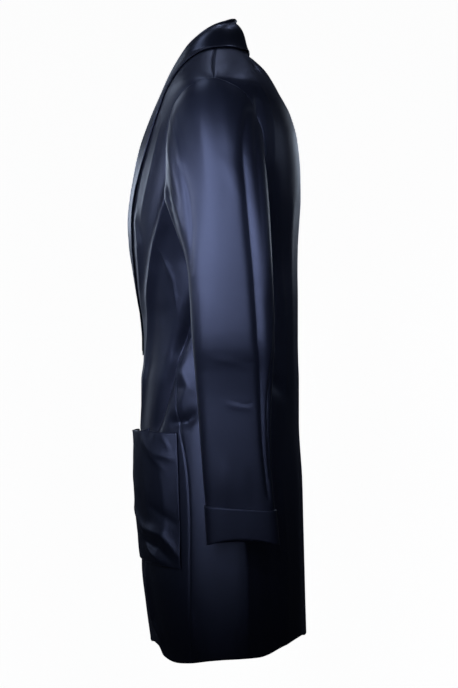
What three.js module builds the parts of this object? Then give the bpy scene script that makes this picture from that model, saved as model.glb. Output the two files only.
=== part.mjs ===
// A short silk robe with a folded shawl collar, set-in sleeves, sewn cuffs and two patch pockets.
// Millimetres. +X is the wearer's left, -Y the front and +Z up. The origin lies midway between the
// two points where the shoulder seams meet the neck, which is where a wearer carries the robe.
import * as THREE from 'three';

// ---- Sizes ------------------------------------------------------------------------------------
const WALL = 1.5;
const SEAM = 0.2;
const HEM = -863;
const ARMPIT = -320;
const NECK_Z = 8;
const NECK_BACK_Z = 5;
const TIP_Z = -66;
const ROUND = 2 / 2.2;

// Worn girth of the robe, level by level: half width, centre front, centre back, widest line.
const BODY = columns(['z', 'half', 'front', 'back', 'middle'], [
  [20, 44, -38, 36, 0],
  [8, 70, -45, 42, 0],
  [5, 77, -47, 46, 0],
  [-4, 96, -52, 50.5, -1],
  [-12, 113, -54, 59.5, -2],
  [-28, 147, -61, 75, -4],
  [-49, 191, -71, 87.5, -4],
  [-58, 207, -75, 92, -3],
  [-66, 217.5, -79, 96, -2],
  [-78, 225, -84.5, 103, -1],
  [-94, 228, -91, 111, 0],
  [-130, 229, -105, 121, 0],
  [-178, 225, -119, 125.5, -1],
  [-214, 219, -126, 126, -4],
  [-251, 209, -129.5, 124, -8],
  [-285, 197, -127.5, 122, -12],
  [-320, 188, -122.5, 121.5, -14],
  [-364, 184, -115.5, 122, -8],
  [-394, 183, -110, 122, -3],
  [-424, 183, -108, 122, 0],
  [-454, 185, -108.5, 122.5, 2],
  [-484, 187, -112, 123.5, 3],
  [-544, 194, -112, 123.5, 6],
  [-634, 204, -111, 128.5, 10],
  [-694, 210, -110.3, 130, 12],
  [-754, 216, -111, 131.5, 14],
  [-814, 221, -104.8, 133, 16],
  [-863, 224, -98, 134.5, 17],
]);

// The hem's height above its middle level, round from the centre front (0) to the back (180).
const HEM_LINE = columns(['angle', 'lift'], [
  [-30, -3],
  [0, -3],
  [15, 0],
  [27, 6],
  [33, 5],
  [40, -6],
  [52, -9.5],
  [65, -6.5],
  [80, -0.5],
  [91, 2],
  [101, 2.8],
  [110, 3],
  [117, 5],
  [130, 11.5],
  [150, 16],
  [165, 9],
  [180, 4],
]);

// Armhole edge: depth of the seam in front of and behind the shoulder, level by level.
const ARMHOLE = columns(['z', 'front', 'back'], [
  [-66, -2, -2],
  [-66.1, -5.2, 0.2],
  [-66.5, -9.2, 2.6],
  [-67.3, -13.5, 5.4],
  [-68.5, -18, 8],
  [-73, -30, 20],
  [-79, -40, 31],
  [-93, -53, 46],
  [-107, -60, 55],
  [-129, -64.5, 64],
  [-148, -66.5, 67],
  [-190, -66.5, 68],
  [-227, -64, 65],
  [-250, -59, 60],
  [-274, -52, 51],
  [-292, -44, 40],
  [-306, -35, 24],
  [-315, -26, 6],
  [-320, -14, -14],
]);

// Side seam below the armhole.
const SIDE = columns(['z', 'y'], [
  [-320, -14],
  [-400, -38],
  [-493, -54],
  [-543, -51],
  [-590, -41],
  [-631, -37],
  [-673, -35],
  [-863, -35],
]);

// Front panel's inner edge, from the neck along the folded lapel and down to the hem.
const FRONT_EDGE = columns(['z', 'x'], [
  [8, 70],
  [-2, 71.5],
  [-16, 71],
  [-34, 66.5],
  [-67, 61],
  [-101, 57],
  [-143, 53],
  [-178, 48],
  [-217, 39.5],
  [-275, 26.5],
  [-330, 16.5],
  [-380, 7.5],
  [-420, 0],
  [-450, -12],
  [-480, -28],
  [-540, -38],
  [-640, -45],
  [-863, -50],
]);

// Sleeve girths below the armhole: side nearest the body, outer side, front and rear.
const ARM = columns(['z', 'near', 'far', 'front', 'rear'], [
  [-345, 195, 286, -34.5, 77.5],
  [-411, 195, 281, -31, 80],
  [-452, 198, 276, -27, 79],
  [-506, 203, 271, -23, 75.5],
  [-560, 208, 268, -19, 74.5],
  [-614, 212, 266, -15, 76.5],
  [-652, 215, 264, -11.5, 80],
  [-705, 217, 263, -8, 85],
]);
// The sleeve hangs flatter on its outer side: below 1 is flatter than an oval.
const ARM_FACE = 0.58;
const CUFF = { top: -652, bottom: -701, out: 2.2, lap: 12, arch: 9, slant: 3 };

// Shawl collar, half of it from the centre back to the wrap: the roll line and the outer edge.
const COLLAR = columns(['s', 'rollX', 'rollY', 'rollZ', 'edgeX', 'edgeY', 'edgeZ', 'inner'], [
  [0, 0, 24.9, 53.9, 0, 49, 4, 10],
  [1, 20, 22.3, 52.3, 37, 48, 3, 10],
  [2, 37, 13.3, 47, 66, 36, 2, 10],
  [3, 51, 0, 40.5, 86, 17, 0, 10],
  [4, 60, -14, 31.3, 96, -3, -4, 10],
  [5, 64, -26, 21.5, 103, -20, -13, 11],
  [6, 63, -39, 9.5, 109, -34, -26, 12],
  [7, 60, -53, -9.8, 115, -47, -42, 13],
  [8, 57, -67, -34, 120, -60, -60, 13],
  [9, 54, -82, -67, 125, -74, -90, 13],
  [10, 50, -97, -101, 126, -86, -126, 13],
  [11, 46, -112, -143, 123, -99, -160, 13],
  [12, 41, -120, -178, 115, -109, -186, 13],
  [13, 32, -126, -217, 106, -117, -214, 13],
  [14, 18, -129.5, -275, 92, -122, -258, 13],
  [15, 8, -122.5, -330, 68, -118, -312, 13],
  [16, -1, -114.5, -380, 42, -113, -364, 9],
  [17, -9, -111, -420, 19, -110, -409, 7],
  [18, -19, -110.5, -446, 2, -110.5, -440, 5],
]);

// Foot of the collar's stand, tucked inside the neck seam.
const STAND_FOOT = columns(['s', 'x', 'y', 'z'], [
  [0, 0, 40, -1],
  [1, 21, 38, -1],
  [2, 42, 28, 0],
  [3, 59, 12, 1],
  [4, 65, -5, 1],
  [5, 65.5, -20, -3],
  [6, 65.5, -35, -13],
  [7, 69, -49, -25],
]);
const COLLAR_OUT = 2.1;
const COLLAR_IN = -3.3;

// Patch pocket on each front: where its corners lie, how far it hangs open and how round it is.
const POCKET = {
  top: -555,
  bottom: -742,
  topFront: 13,
  topSide: 62,
  bottomFront: 12,
  bottomSide: 63,
  lift: 1.1,
  bag: 11,
  mouth: 8,
};

// Wrap: how far the right front passes under the left one.
const UNDER = { depth: 10, start: -290, full: -366, x: 92, fade: 160 };

// Grid steps along and across the pieces.
const STEPS = { yoke: 12, skirt: 16, back: 15, front: 17, cap: 9, arm: 12, collar: 30 };

// Largest folds of each side, front to back. A path runs through [angle, z]: degrees from the
// centre front (90 at the side, 180 at the centre back). Rise is outward, below zero a trough.
const FOLDS = {
  left: [
    fold([[62, -150], [65, -200], [60, -260], [48, -325], [37, -370], [28, -440], [18, -550]], 5, 13),
    fold([[31, -250], [34, -285], [31, -325], [22, -380]], 3, 12),
    fold([[78, -375], [70, -405], [60, -447], [49, -512], [42, -550]], -7, 13),
    fold([[76, -402], [64, -432]], -2.5, 9),
    fold([[60, -458], [67, -470], [72, -490], [64, -522]], 5, 18),
    fold([[58, -541], [70, -538], [76, -526]], -3.5, 9),
    fold([[22, -575], [20, -705]], 4, 38),
    fold([[26, -750], [28, -795], [31, -825], [38, -848]], 3, 10),
    fold([[108, -95], [101, -140], [112, -175], [116, -240]], 4, 11),
    fold([[120, -90], [117, -160]], -3, 10),
    fold([[134, -26], [143, -38]], -3, 10),
    fold([[127, -205], [132, -480]], -4, 16),
    fold([[150, -240], [152, -520]], 3, 18),
    fold([[96, -420], [118, -470], [140, -500]], -3, 12),
    fold([[98, -600], [101, -850]], 3.5, 22),
    fold([[118, -590], [122, -850]], -3, 20),
    fold([[152, -570], [150, -850]], 3, 20),
  ],
  right: [
    fold([[60, -160], [63, -215], [55, -275], [45, -335], [35, -385], [29, -450]], 5, 13),
    fold([[33, -240], [36, -290], [27, -350]], 2.5, 11),
    fold([[80, -370], [68, -415], [58, -458], [50, -500]], -6, 12),
    fold([[64, -470], [70, -500], [66, -530]], 4, 17),
    fold([[60, -550], [72, -543]], -3, 9),
    fold([[40, -590], [38, -700]], 3, 38),
    fold([[106, -110], [104, -150], [114, -190], [113, -235]], 3.5, 11),
    fold([[121, -95], [115, -165]], -3, 10),
    fold([[137, -30], [146, -44]], -2.5, 10),
    fold([[126, -215], [131, -455]], -4, 15),
    fold([[148, -250], [150, -500]], 3, 17),
    fold([[98, -430], [120, -482]], -3, 11),
    fold([[96, -610], [100, -850]], 3.5, 20),
    fold([[116, -590], [119, -850]], -3, 18),
    fold([[149, -560], [147, -850]], 3, 20),
  ],
  // On a sleeve the angle is 0 on the outer side, 90 in front and -90 behind.
  sleeve_left: [
    fold([[-41, -115], [-32, -180], [-31, -300], [-35, -425], [-47, -520], [-58, -632]], 4.5, 8),
    fold([[-62, -190], [-60, -360]], -3, 10),
    fold([[-84, -410], [-70, -480], [-68, -520], [-72, -605]], 3, 8),
    fold([[-6, -185], [-33, -245]], -3, 9),
    fold([[50, -195], [46, -226], [52, -274], [68, -325]], 3, 9),
    fold([[8, -511], [-21, -515]], -1.2, 5),
    fold([[28, -450], [-8, -455]], -0.8, 5),
    fold([[104, -218], [84, -250], [88, -292]], -3, 9),
  ],
  sleeve_right: [
    fold([[-39, -120], [-33, -190], [-30, -310], [-36, -430], [-46, -530], [-56, -632]], 4.5, 8),
    fold([[-60, -200], [-63, -345]], -3, 10),
    fold([[-80, -400], [-71, -470], [-70, -590]], 3, 8),
    fold([[-10, -200], [-30, -262]], -2.5, 9),
    fold([[48, -205], [47, -260], [62, -330]], 3, 9),
    fold([[12, -495], [-18, -502]], -1.2, 5),
    fold([[100, -225], [86, -285]], -3, 9),
  ],
};

const SILK = { color: 0x141a2e, roughness: 0.42, metalness: 0 };

// ---- Tables and curves ------------------------------------------------------------------------
function columns(names, rows) {
  const sorted = [...rows].sort((a, b) => a[0] - b[0]);
  const keys = sorted.map((row) => row[0]);
  const table = {};
  names.slice(1).forEach((name, index) => {
    table[name] = smooth(keys, sorted.map((row) => row[index + 1]));
  });
  return table;
}

// A curve through the values that never swings past them.
function smooth(keys, values) {
  const last = keys.length - 1;
  const rise = values.slice(1).map((value, i) => (value - values[i]) / (keys[i + 1] - keys[i]));
  const slope = values.map((value, i) => {
    if (i === 0 || i === last) {
      return rise[i === 0 ? 0 : last - 1];
    }
    const before = rise[i - 1];
    const after = rise[i];
    return before * after <= 0 ? 0 : (2 * before * after) / (before + after);
  });
  return (key) => {
    const at = Math.min(Math.max(key, keys[0]), keys[last]);
    let i = 0;
    while (i < last - 1 && at > keys[i + 1]) {
      i += 1;
    }
    const step = keys[i + 1] - keys[i];
    const t = (at - keys[i]) / step;
    const a = 2 * t ** 3 - 3 * t ** 2 + 1;
    const b = t ** 3 - 2 * t ** 2 + t;
    const c = 3 * t ** 2 - 2 * t ** 3;
    const d = t ** 3 - t ** 2;
    return a * values[i] + b * step * slope[i] + c * values[i + 1] + d * step * slope[i + 1];
  };
}

const mix = (a, b, t) => a + (b - a) * t;
const clamp = (t) => Math.min(Math.max(t, 0), 1);
const ease = (t) => clamp(t) ** 2 * (3 - 2 * clamp(t));
const power = (value, exponent) => Math.sign(value) * Math.abs(value) ** exponent;
const point = (x, y, z) => new THREE.Vector3(x, y, z);

// ---- Folds ------------------------------------------------------------------------------------
function fold(path, rise, width) {
  return { path, rise, width };
}

function foldRise(folds, angle, z, radius) {
  let total = 0;
  for (const { path, rise, width } of folds) {
    let best = Infinity;
    let along = 0;
    for (let i = 0; i < path.length - 1; i += 1) {
      const [a0, z0] = path[i];
      const dx = (path[i + 1][0] - a0) * radius;
      const dz = path[i + 1][1] - z0;
      const px = (angle - a0) * radius;
      const pz = z - z0;
      const t = clamp((px * dx + pz * dz) / (dx * dx + dz * dz));
      const far = Math.hypot(px - t * dx, pz - t * dz);
      if (far < best) {
        best = far;
        along = (i + t) / (path.length - 1);
      }
    }
    const taper = Math.sqrt(Math.sin(Math.PI * mix(0.06, 0.94, along)));
    total += rise * taper * Math.exp(-((best / width) ** 2));
  }
  return total;
}

// ---- Body form --------------------------------------------------------------------------------
// Point at an angle round the body: 0 at the centre front, a half turn at the centre back.
function bodyPoint(angle, z) {
  const middle = BODY.middle(z);
  const depth = Math.cos(angle) > 0 ? middle - BODY.front(z) : BODY.back(z) - middle;
  const x = BODY.half(z) * power(Math.sin(angle), ROUND);
  return point(x, middle - depth * power(Math.cos(angle), ROUND), z);
}

function angleAtX(x, z, back) {
  const angle = Math.asin(power(Math.min(Math.max(x / BODY.half(z), -1), 1), 1 / ROUND));
  return back ? Math.PI - angle : angle;
}

function angleAtY(y, z) {
  const middle = BODY.middle(z);
  const depth = y < middle ? middle - BODY.front(z) : BODY.back(z) - middle;
  return Math.acos(power(Math.min(Math.max((middle - y) / depth, -1), 1), 1 / ROUND));
}

function under(angle, z) {
  const x = bodyPoint(angle, z).x;
  const down = ease((UNDER.start - z) / (UNDER.start - UNDER.full));
  const across = 1 - ease((x - UNDER.x) / (UNDER.fade - UNDER.x));
  return Math.cos(angle) > 0 ? UNDER.depth * down * across : 0;
}

// Outward direction of the body form.
function bodyNormal(angle, z) {
  const step = 0.012;
  const round = bodyPoint(angle + step, z).sub(bodyPoint(angle - step, z));
  const down = bodyPoint(angle, z - 0.6).sub(bodyPoint(angle, z + 0.6));
  return round.cross(down).normalize().negate();
}

// Point of one side's cloth, with its folds. The right side is worked out as a left one.
function clothPoint(side, angle, z) {
  const rise = foldRise(FOLDS[side], THREE.MathUtils.radToDeg(angle), z, 2.9);
  const sink = side === 'right' ? under(angle, z) : 0;
  return bodyPoint(angle, z).addScaledVector(bodyNormal(angle, z), rise - sink);
}

// Signed distance from the body form, near enough for points close to it.
function bodyDistance(p) {
  const value = (q) => {
    const middle = BODY.middle(q.z);
    const depth = q.y < middle ? middle - BODY.front(q.z) : BODY.back(q.z) - middle;
    const sum = Math.abs(q.x / BODY.half(q.z)) ** 2.2 + Math.abs((q.y - middle) / depth) ** 2.2;
    return sum ** (1 / 2.2) - 1;
  };
  const here = value(p);
  const grad = point(
    value(p.clone().add(point(0.5, 0, 0))) - here,
    value(p.clone().add(point(0, 0.5, 0))) - here,
    value(p.clone().add(point(0, 0, 0.5))) - here,
  ).multiplyScalar(2);
  return { far: here / grad.length(), way: grad.normalize() };
}

// Moves a point until it lies at least that far outside the form, or inside if below zero.
function keepClear(p, distance) {
  const q = p.clone();
  for (let pass = 0; pass < 4 && q.z < NECK_Z + 4; pass += 1) {
    const { far, way } = bodyDistance(q);
    const short = distance > 0 ? Math.max(distance - far, 0) : Math.min(distance - far, 0);
    q.addScaledVector(way, short);
  }
  return q;
}

// ---- Walls ------------------------------------------------------------------------------------
// Rows of points become a closed wall. A ring of rows meets itself at its last column.
function wall(outer, inner, ring) {
  const rows = outer.length;
  const cols = outer[0].length;
  const positions = [...outer.flat(), ...inner.flat()].flatMap((p) => [p.x, p.y, p.z]);
  const faces = [];
  const at = (layer, row, col) => layer * rows * cols + row * cols + (col % cols);
  const spot = (index) => point(...positions.slice(index * 3, index * 3 + 3));
  const quad = (a, b, c, d) => {
    const short = spot(a).distanceTo(spot(c)) <= spot(b).distanceTo(spot(d));
    faces.push(...(short ? [a, b, c, a, c, d] : [a, b, d, b, c, d]));
  };
  const lastCol = ring ? cols : cols - 1;
  for (let row = 0; row < rows - 1; row += 1) {
    for (let col = 0; col < lastCol; col += 1) {
      quad(at(0, row, col), at(0, row + 1, col), at(0, row + 1, col + 1), at(0, row, col + 1));
      quad(at(1, row, col), at(1, row, col + 1), at(1, row + 1, col + 1), at(1, row + 1, col));
    }
  }
  for (let col = 0; col < lastCol; col += 1) {
    const end = rows - 1;
    quad(at(0, 0, col), at(0, 0, col + 1), at(1, 0, col + 1), at(1, 0, col));
    quad(at(0, end, col), at(1, end, col), at(1, end, col + 1), at(0, end, col + 1));
  }
  for (let row = 0; row < rows - 1 && !ring; row += 1) {
    const end = cols - 1;
    quad(at(0, row, 0), at(1, row, 0), at(1, row + 1, 0), at(0, row + 1, 0));
    quad(at(0, row, end), at(0, row + 1, end), at(1, row + 1, end), at(1, row, end));
  }
  const geometry = new THREE.BufferGeometry();
  geometry.setAttribute('position', new THREE.Float32BufferAttribute(positions, 3));
  geometry.setIndex(faces);
  return geometry;
}

// Draws an edge of the rows back from its seam, by moving it towards the next points.
function drawBack(rows, { first = 0, last = 0, start = 0, end = 0 }) {
  const pull = (from, to, by) => from.clone().add(to.clone().sub(from).setLength(by));
  const out = rows.map((row) => row.map((p) => p.clone()));
  const n = rows.length - 1;
  const m = rows[0].length - 1;
  for (let col = 0; col <= m; col += 1) {
    out[0][col] = first ? pull(rows[0][col], rows[1][col], first) : out[0][col];
    out[n][col] = last ? pull(rows[n][col], rows[n - 1][col], last) : out[n][col];
  }
  for (let row = 0; row <= n; row += 1) {
    out[row][0] = start ? pull(out[row][0], out[row][1], start) : out[row][0];
    out[row][m] = end ? pull(out[row][m], out[row][m - 1], end) : out[row][m];
  }
  return out;
}

// Outward directions of rows of points, round a ring or across a sheet.
function outward(rows, ring) {
  const n = rows.length - 1;
  const m = rows[0].length;
  return rows.map((row, i) => row.map((p, j) => {
    const before = ring ? (j + m - 1) % m : Math.max(j - 1, 0);
    const after = ring ? (j + 1) % m : Math.min(j + 1, m - 1);
    const across = row[after].clone().sub(row[before]);
    const down = rows[Math.min(i + 1, n)][j].clone().sub(rows[Math.max(i - 1, 0)][j]);
    return down.cross(across).normalize();
  }));
}

const shift = (rows, ways, by) => rows.map((row, i) => (
  row.map((p, j) => p.clone().addScaledVector(ways[i][j], by))
));
const mirror = (rows) => rows.map((row) => row.map((p) => point(-p.x, p.y, p.z)).reverse());

// ---- Body panels ------------------------------------------------------------------------------
const YOKE_ROWS = Array.from({ length: STEPS.yoke + 1 }, (_, i) => (
  (1 - Math.cos((Math.PI * i) / STEPS.yoke)) / 2
));

function armholeAngle(step, back) {
  const z = mix(TIP_Z, ARMPIT, YOKE_ROWS[step]);
  return { z, angle: angleAtY(back ? ARMHOLE.back(z) : ARMHOLE.front(z), z) };
}

// Angles and heights of a panel's grid: down the columns from the shoulder, then to the hem.
function panelCells(back, count, startX, startZ) {
  const cells = [];
  const neck = startZ(0);
  const shoulder = Array.from({ length: count + 1 }, (_, j) => {
    const u = j / count;
    const share = back ? BODY.half(NECK_Z) / BODY.half(TIP_Z) : 0;
    if (u < share) {
      return { z: mix(neck, NECK_Z, u / share), x: mix(0, BODY.half(NECK_Z), u / share) };
    }
    const z = mix(NECK_Z, TIP_Z, (u - share) / (1 - share));
    return { z, x: BODY.half(z) };
  });
  YOKE_ROWS.forEach((drop, i) => {
    const edge = armholeAngle(i, back);
    const edgeX = bodyPoint(edge.angle, edge.z).x;
    const innerZ = mix(shoulder[0].z, ARMPIT, drop);
    const innerX = startX(innerZ);
    const innerAngle = angleAtX(innerX, innerZ, back);
    const low = ease(i / STEPS.yoke / 0.9);
    cells.push(shoulder.map(({ x, z: top }, j) => {
      const z = mix(top, ARMPIT, drop);
      const share = (x - shoulder[0].x) / (shoulder[count].x - shoulder[0].x);
      if (j === count) {
        return { z: edge.z, angle: edge.angle };
      }
      const byX = angleAtX(mix(innerX, edgeX, share), z, back);
      const byAngle = mix(innerAngle, edge.angle, j / count);
      return { z, angle: i === 0 ? byX : mix(byX, byAngle, low) };
    }));
  });
  for (let i = 1; i <= STEPS.skirt; i += 1) {
    const z = mix(ARMPIT, HEM, i / STEPS.skirt);
    const inner = angleAtX(startX(z), z, back);
    const outer = angleAtY(SIDE.y(z), z);
    cells.push(shoulder.map((_, j) => {
      const angle = mix(inner, outer, j / count);
      const lift = HEM_LINE.lift(THREE.MathUtils.radToDeg(angle));
      return { z: z + lift * (i / STEPS.skirt) ** 2, angle };
    }));
  }
  return cells;
}

function panelWall(side, cells) {
  const outer = cells.map((row) => row.map(({ angle, z }) => clothPoint(side, angle, z)));
  const normals = cells.map((row) => row.map(({ angle, z }) => {
    const round = clothPoint(side, angle + 0.012, z).sub(clothPoint(side, angle - 0.012, z));
    const down = clothPoint(side, angle, z - 0.6).sub(clothPoint(side, angle, z + 0.6));
    return down.cross(round).normalize();
  }));
  return { outer, inner: shift(outer, normals, -WALL) };
}

function frontPanel(side) {
  const cells = panelCells(false, STEPS.front, FRONT_EDGE.x, () => NECK_Z);
  const { outer, inner } = panelWall(side, cells);
  const back = { first: SEAM, end: SEAM };
  return { outer: drawBack(outer, back), inner: drawBack(inner, back) };
}

function backPanel() {
  const cells = panelCells(true, STEPS.back, () => 0, () => NECK_BACK_Z);
  const left = panelWall('left', cells);
  const right = panelWall('right', cells);
  const join = (rows, others) => rows.map((row, i) => [
    ...others[i].slice(1).reverse().map((p) => point(-p.x, p.y, p.z)),
    ...row,
  ].reverse());
  const back = { first: SEAM, start: SEAM, end: SEAM };
  return {
    outer: drawBack(join(left.outer, right.outer), back),
    inner: drawBack(join(left.inner, right.inner), back),
  };
}

// ---- Sleeves and cuffs ------------------------------------------------------------------------
const RING = 2 * STEPS.yoke;

function armPoint(turn, z, out = 0) {
  const x = (ARM.near(z) + ARM.far(z)) / 2;
  const y = (ARM.front(z) + ARM.rear(z)) / 2;
  const halfX = (ARM.far(z) - ARM.near(z)) / 2 + out;
  const halfY = (ARM.rear(z) - ARM.front(z)) / 2 + out;
  return point(
    x + halfX * power(Math.cos(turn), Math.cos(turn) > 0 ? ARM_FACE : 0.92),
    y - halfY * power(Math.sin(turn), 0.92),
    z,
  );
}

// Armhole seam from the shoulder tip down the front, through the armpit and up the back.
function armholeLoop(side) {
  const spots = [];
  for (let k = 0; k < RING; k += 1) {
    const back = k > STEPS.yoke;
    const { angle, z } = armholeAngle(back ? RING - k : k, back);
    spots.push({ p: clothPoint(side, angle, z), n: bodyNormal(angle, z) });
  }
  return spots.map(({ p, n }, k) => {
    const along = spots[(k + 1) % RING].p.clone().sub(spots[(k + RING - 1) % RING].p).normalize();
    const into = along.clone().cross(n).normalize();
    if (into.dot(point(190, 0, -190).sub(p)) < 0) {
      into.negate();
    }
    return { p, n, into };
  });
}

function sleeve(side) {
  const loop = armholeLoop(side);
  const folds = FOLDS[`sleeve_${side}`];
  const top = -345;
  const rows = [];
  for (let i = 0; i <= STEPS.cap; i += 1) {
    const s = (i / STEPS.cap) ** 1.25;
    rows.push(loop.map(({ p, n, into }, k) => {
      const turn = (2 * Math.PI * k) / RING;
      const under = (1 - Math.cos(turn)) / 2;
      const lean = THREE.MathUtils.degToRad(mix(8, 84, under ** 0.8));
      const leave = into.clone().multiplyScalar(Math.cos(lean)).addScaledVector(n, Math.sin(lean));
      leave.y *= ease(Math.abs(Math.sin(turn)) / 0.9);
      const start = p.clone().addScaledVector(leave, SEAM + 0.1);
      const end = armPoint(turn, top);
      const reach = start.distanceTo(end);
      const t0 = leave.multiplyScalar(reach * mix(0.75, 0.9, under));
      const t1 = armPoint(turn, top - 1).sub(end).multiplyScalar(reach * mix(1.1, 0.6, under));
      return start.clone().multiplyScalar(2 * s ** 3 - 3 * s ** 2 + 1)
        .addScaledVector(t0, s ** 3 - 2 * s ** 2 + s)
        .addScaledVector(end, 3 * s ** 2 - 2 * s ** 3)
        .addScaledVector(t1, s ** 3 - s ** 2);
    }));
  }
  for (let i = 1; i <= STEPS.arm; i += 1) {
    const z = mix(top, CUFF.top - CUFF.lap, i / STEPS.arm);
    rows.push(loop.map((_, k) => armPoint((2 * Math.PI * k) / RING, z)));
  }
  const bare = outward(rows, true);
  const outer = rows.map((row, i) => row.map((p, k) => {
    const angle = k > RING / 2 ? (360 * k) / RING - 360 : (360 * k) / RING;
    const rise = i === 0 ? 0 : foldRise(folds, angle, p.z, 0.95);
    return p.clone().addScaledVector(bare[i][k], rise);
  }));
  return { outer, inner: shift(outer, outward(outer, true), -WALL) };
}

function cuff() {
  const steps = 4;
  const outer = [];
  for (let i = 0; i <= steps; i += 1) {
    outer.push(Array.from({ length: RING }, (_, k) => {
      const turn = (2 * Math.PI * k) / RING;
      const topZ = CUFF.top + CUFF.slant * Math.sin(turn);
      const lowZ = CUFF.bottom + CUFF.arch * Math.max(Math.cos(turn), 0) ** 2;
      const z = mix(topZ, lowZ, i / steps);
      return armPoint(turn, z, CUFF.out);
    }));
  }
  return { outer, inner: shift(outer, outward(outer, true), -WALL) };
}

// ---- Collar -----------------------------------------------------------------------------------
function collar(side) {
  const rows = [];
  const last = 18;
  for (let i = 0; i <= STEPS.collar; i += 1) {
    const s = (last * i) / STEPS.collar;
    const roll = point(COLLAR.rollX(s), COLLAR.rollY(s), COLLAR.rollZ(s));
    const edge = point(COLLAR.edgeX(s), COLLAR.edgeY(s), COLLAR.edgeZ(s));
    const leg = edge.clone().sub(roll);
    const ahead = Math.min(s + 0.2, last);
    const behind = Math.max(s - 0.2, 0);
    const along = point(
      COLLAR.rollX(ahead) - COLLAR.rollX(behind),
      COLLAR.rollY(ahead) - COLLAR.rollY(behind),
      COLLAR.rollZ(ahead) - COLLAR.rollZ(behind),
    ).normalize();
    const out = along.clone().cross(leg).normalize();
    if (out.dot(point(roll.x, roll.y - 5, 0)) < 0) {
      out.negate();
    }
    const across = out.clone().cross(along).normalize();
    if (across.dot(leg) < 0) {
      across.negate();
    }
    const row = [];
    const steps = 6;
    for (let j = 0; j < steps; j += 1) {
      const t = j / steps;
      const bow = 6 * Math.sin(Math.PI * t ** 1.5) * ease((9 - s) / 7);
      row.push(keepClear(edge.clone().addScaledVector(leg, -t).addScaledVector(out, bow), COLLAR_OUT));
    }
    const round = mix(0.8, 2.6, ease((6 - s) / 5)) + 3 * ease((3 - s) / 2);
    row.push(keepClear(roll.clone().addScaledVector(across, 2).addScaledVector(out, round), COLLAR_OUT));
    row.push(roll.clone().addScaledVector(out, -1));
    const stand = 1 - ease((s - 5.6) / 1.2);
    const foot = point(STAND_FOOT.x(s), STAND_FOOT.y(s), STAND_FOOT.z(s));
    const inner = COLLAR.inner(s);
    const seat = keepClear(roll.clone().addScaledVector(across, inner).addScaledVector(out, -4), COLLAR_IN);
    const turn = roll.clone().addScaledVector(across, 2.6);
    const tucked = keepClear(turn.clone().addScaledVector(out, -6), COLLAR_IN);
    row.push(tucked.lerp(turn.addScaledVector(out, -3.4), stand));
    row.push(seat.lerp(foot, stand));
    rows.push(row);
  }
  const ways = outward(rows, false);
  const outer = shift(rows, ways, WALL / 2);
  const inner = shift(rows, ways, -WALL / 2);
  for (const grid of [outer, inner]) {
    grid[0] = grid[0].map((p) => point(SEAM, p.y, p.z));
  }
  const sink = (grid) => (side === 'right' ? grid.map((row) => row.map(sinkUnder)) : grid);
  return { outer: sink(outer), inner: sink(inner) };
}

function sinkUnder(p) {
  const z = Math.min(p.z, NECK_Z);
  const angle = angleAtX(p.x, z, false);
  return p.y < 0 ? p.clone().addScaledVector(bodyNormal(angle, z), -under(angle, z)) : p;
}

// ---- Pockets ----------------------------------------------------------------------------------
function pocket(side) {
  const down = 11;
  const over = 10;
  const outer = [];
  const inner = [];
  for (let i = 0; i <= down; i += 1) {
    const v = i / down;
    const z = mix(POCKET.top, POCKET.bottom, v);
    const start = mix(POCKET.topFront, POCKET.bottomFront, v);
    const stop = mix(POCKET.topSide, POCKET.bottomSide, v);
    const far = [];
    const near = [];
    for (let j = 0; j <= over; j += 1) {
      const u = j / over;
      const angle = THREE.MathUtils.degToRad(mix(start, stop, u));
      const round = clothPoint(side, angle + 0.012, z).sub(clothPoint(side, angle - 0.012, z));
      const fall = clothPoint(side, angle, z - 0.6).sub(clothPoint(side, angle, z + 0.6));
      const way = fall.cross(round).normalize();
      const dome = Math.sin(Math.PI * u) ** 0.5;
      const bag = POCKET.bag * dome * Math.sin(Math.PI * mix(0.15, 1, v)) ** 0.38;
      const mouth = POCKET.mouth * Math.sin(Math.PI * u ** 0.7) * (1 - v) ** 2.5;
      const lift = POCKET.lift + bag + mouth;
      const p = clothPoint(side, angle, z);
      far.push(p.clone().addScaledVector(way, lift + WALL));
      near.push(p.clone().addScaledVector(way, lift));
    }
    outer.push(far);
    inner.push(near);
  }
  return { outer, inner };
}

// ---- The robe ---------------------------------------------------------------------------------
function piece(name, { outer, inner }, { ring = false, flip = false } = {}) {
  const a = flip ? mirror(outer) : outer;
  const b = flip ? mirror(inner) : inner;
  const mesh = new THREE.Mesh(wall(a, b, ring), new THREE.MeshStandardMaterial(SILK));
  mesh.name = name;
  return mesh;
}

const robe = new THREE.Group();
robe.name = 'silk_robe';
robe.add(piece('back', backPanel()));
robe.add(piece('front_left', frontPanel('left')));
robe.add(piece('front_right', frontPanel('right'), { flip: true }));
robe.add(piece('sleeve_left', sleeve('left'), { ring: true }));
robe.add(piece('sleeve_right', sleeve('right'), { ring: true, flip: true }));
robe.add(piece('cuff_left', cuff(), { ring: true }));
robe.add(piece('cuff_right', cuff(), { ring: true, flip: true }));
robe.add(piece('collar_left', collar('left')));
robe.add(piece('collar_right', collar('right'), { flip: true }));
robe.add(piece('pocket_left', pocket('left')));
robe.add(piece('pocket_right', pocket('right'), { flip: true }));
robe.userData = { hem: HEM };

export default robe;
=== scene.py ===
# %% [markdown]
# # A short silk robe, dressed for its looks
#
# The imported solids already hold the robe's form: a worn, empty robe with a shawl collar, set-in
# sleeves, sewn cuffs and two patch pockets. Here each of those solids is swapped for a thin,
# finely meshed shell of the same form, with more folds, a satin weave and stitching.
#
# All sizes in the tables are millimetres in the robe's own frame: +X is the wearer's left, -Y the
# front, +Z up, and the origin sits at the base of the neck. Meshes are written in metres.

# %% Load the frame
import math

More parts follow.
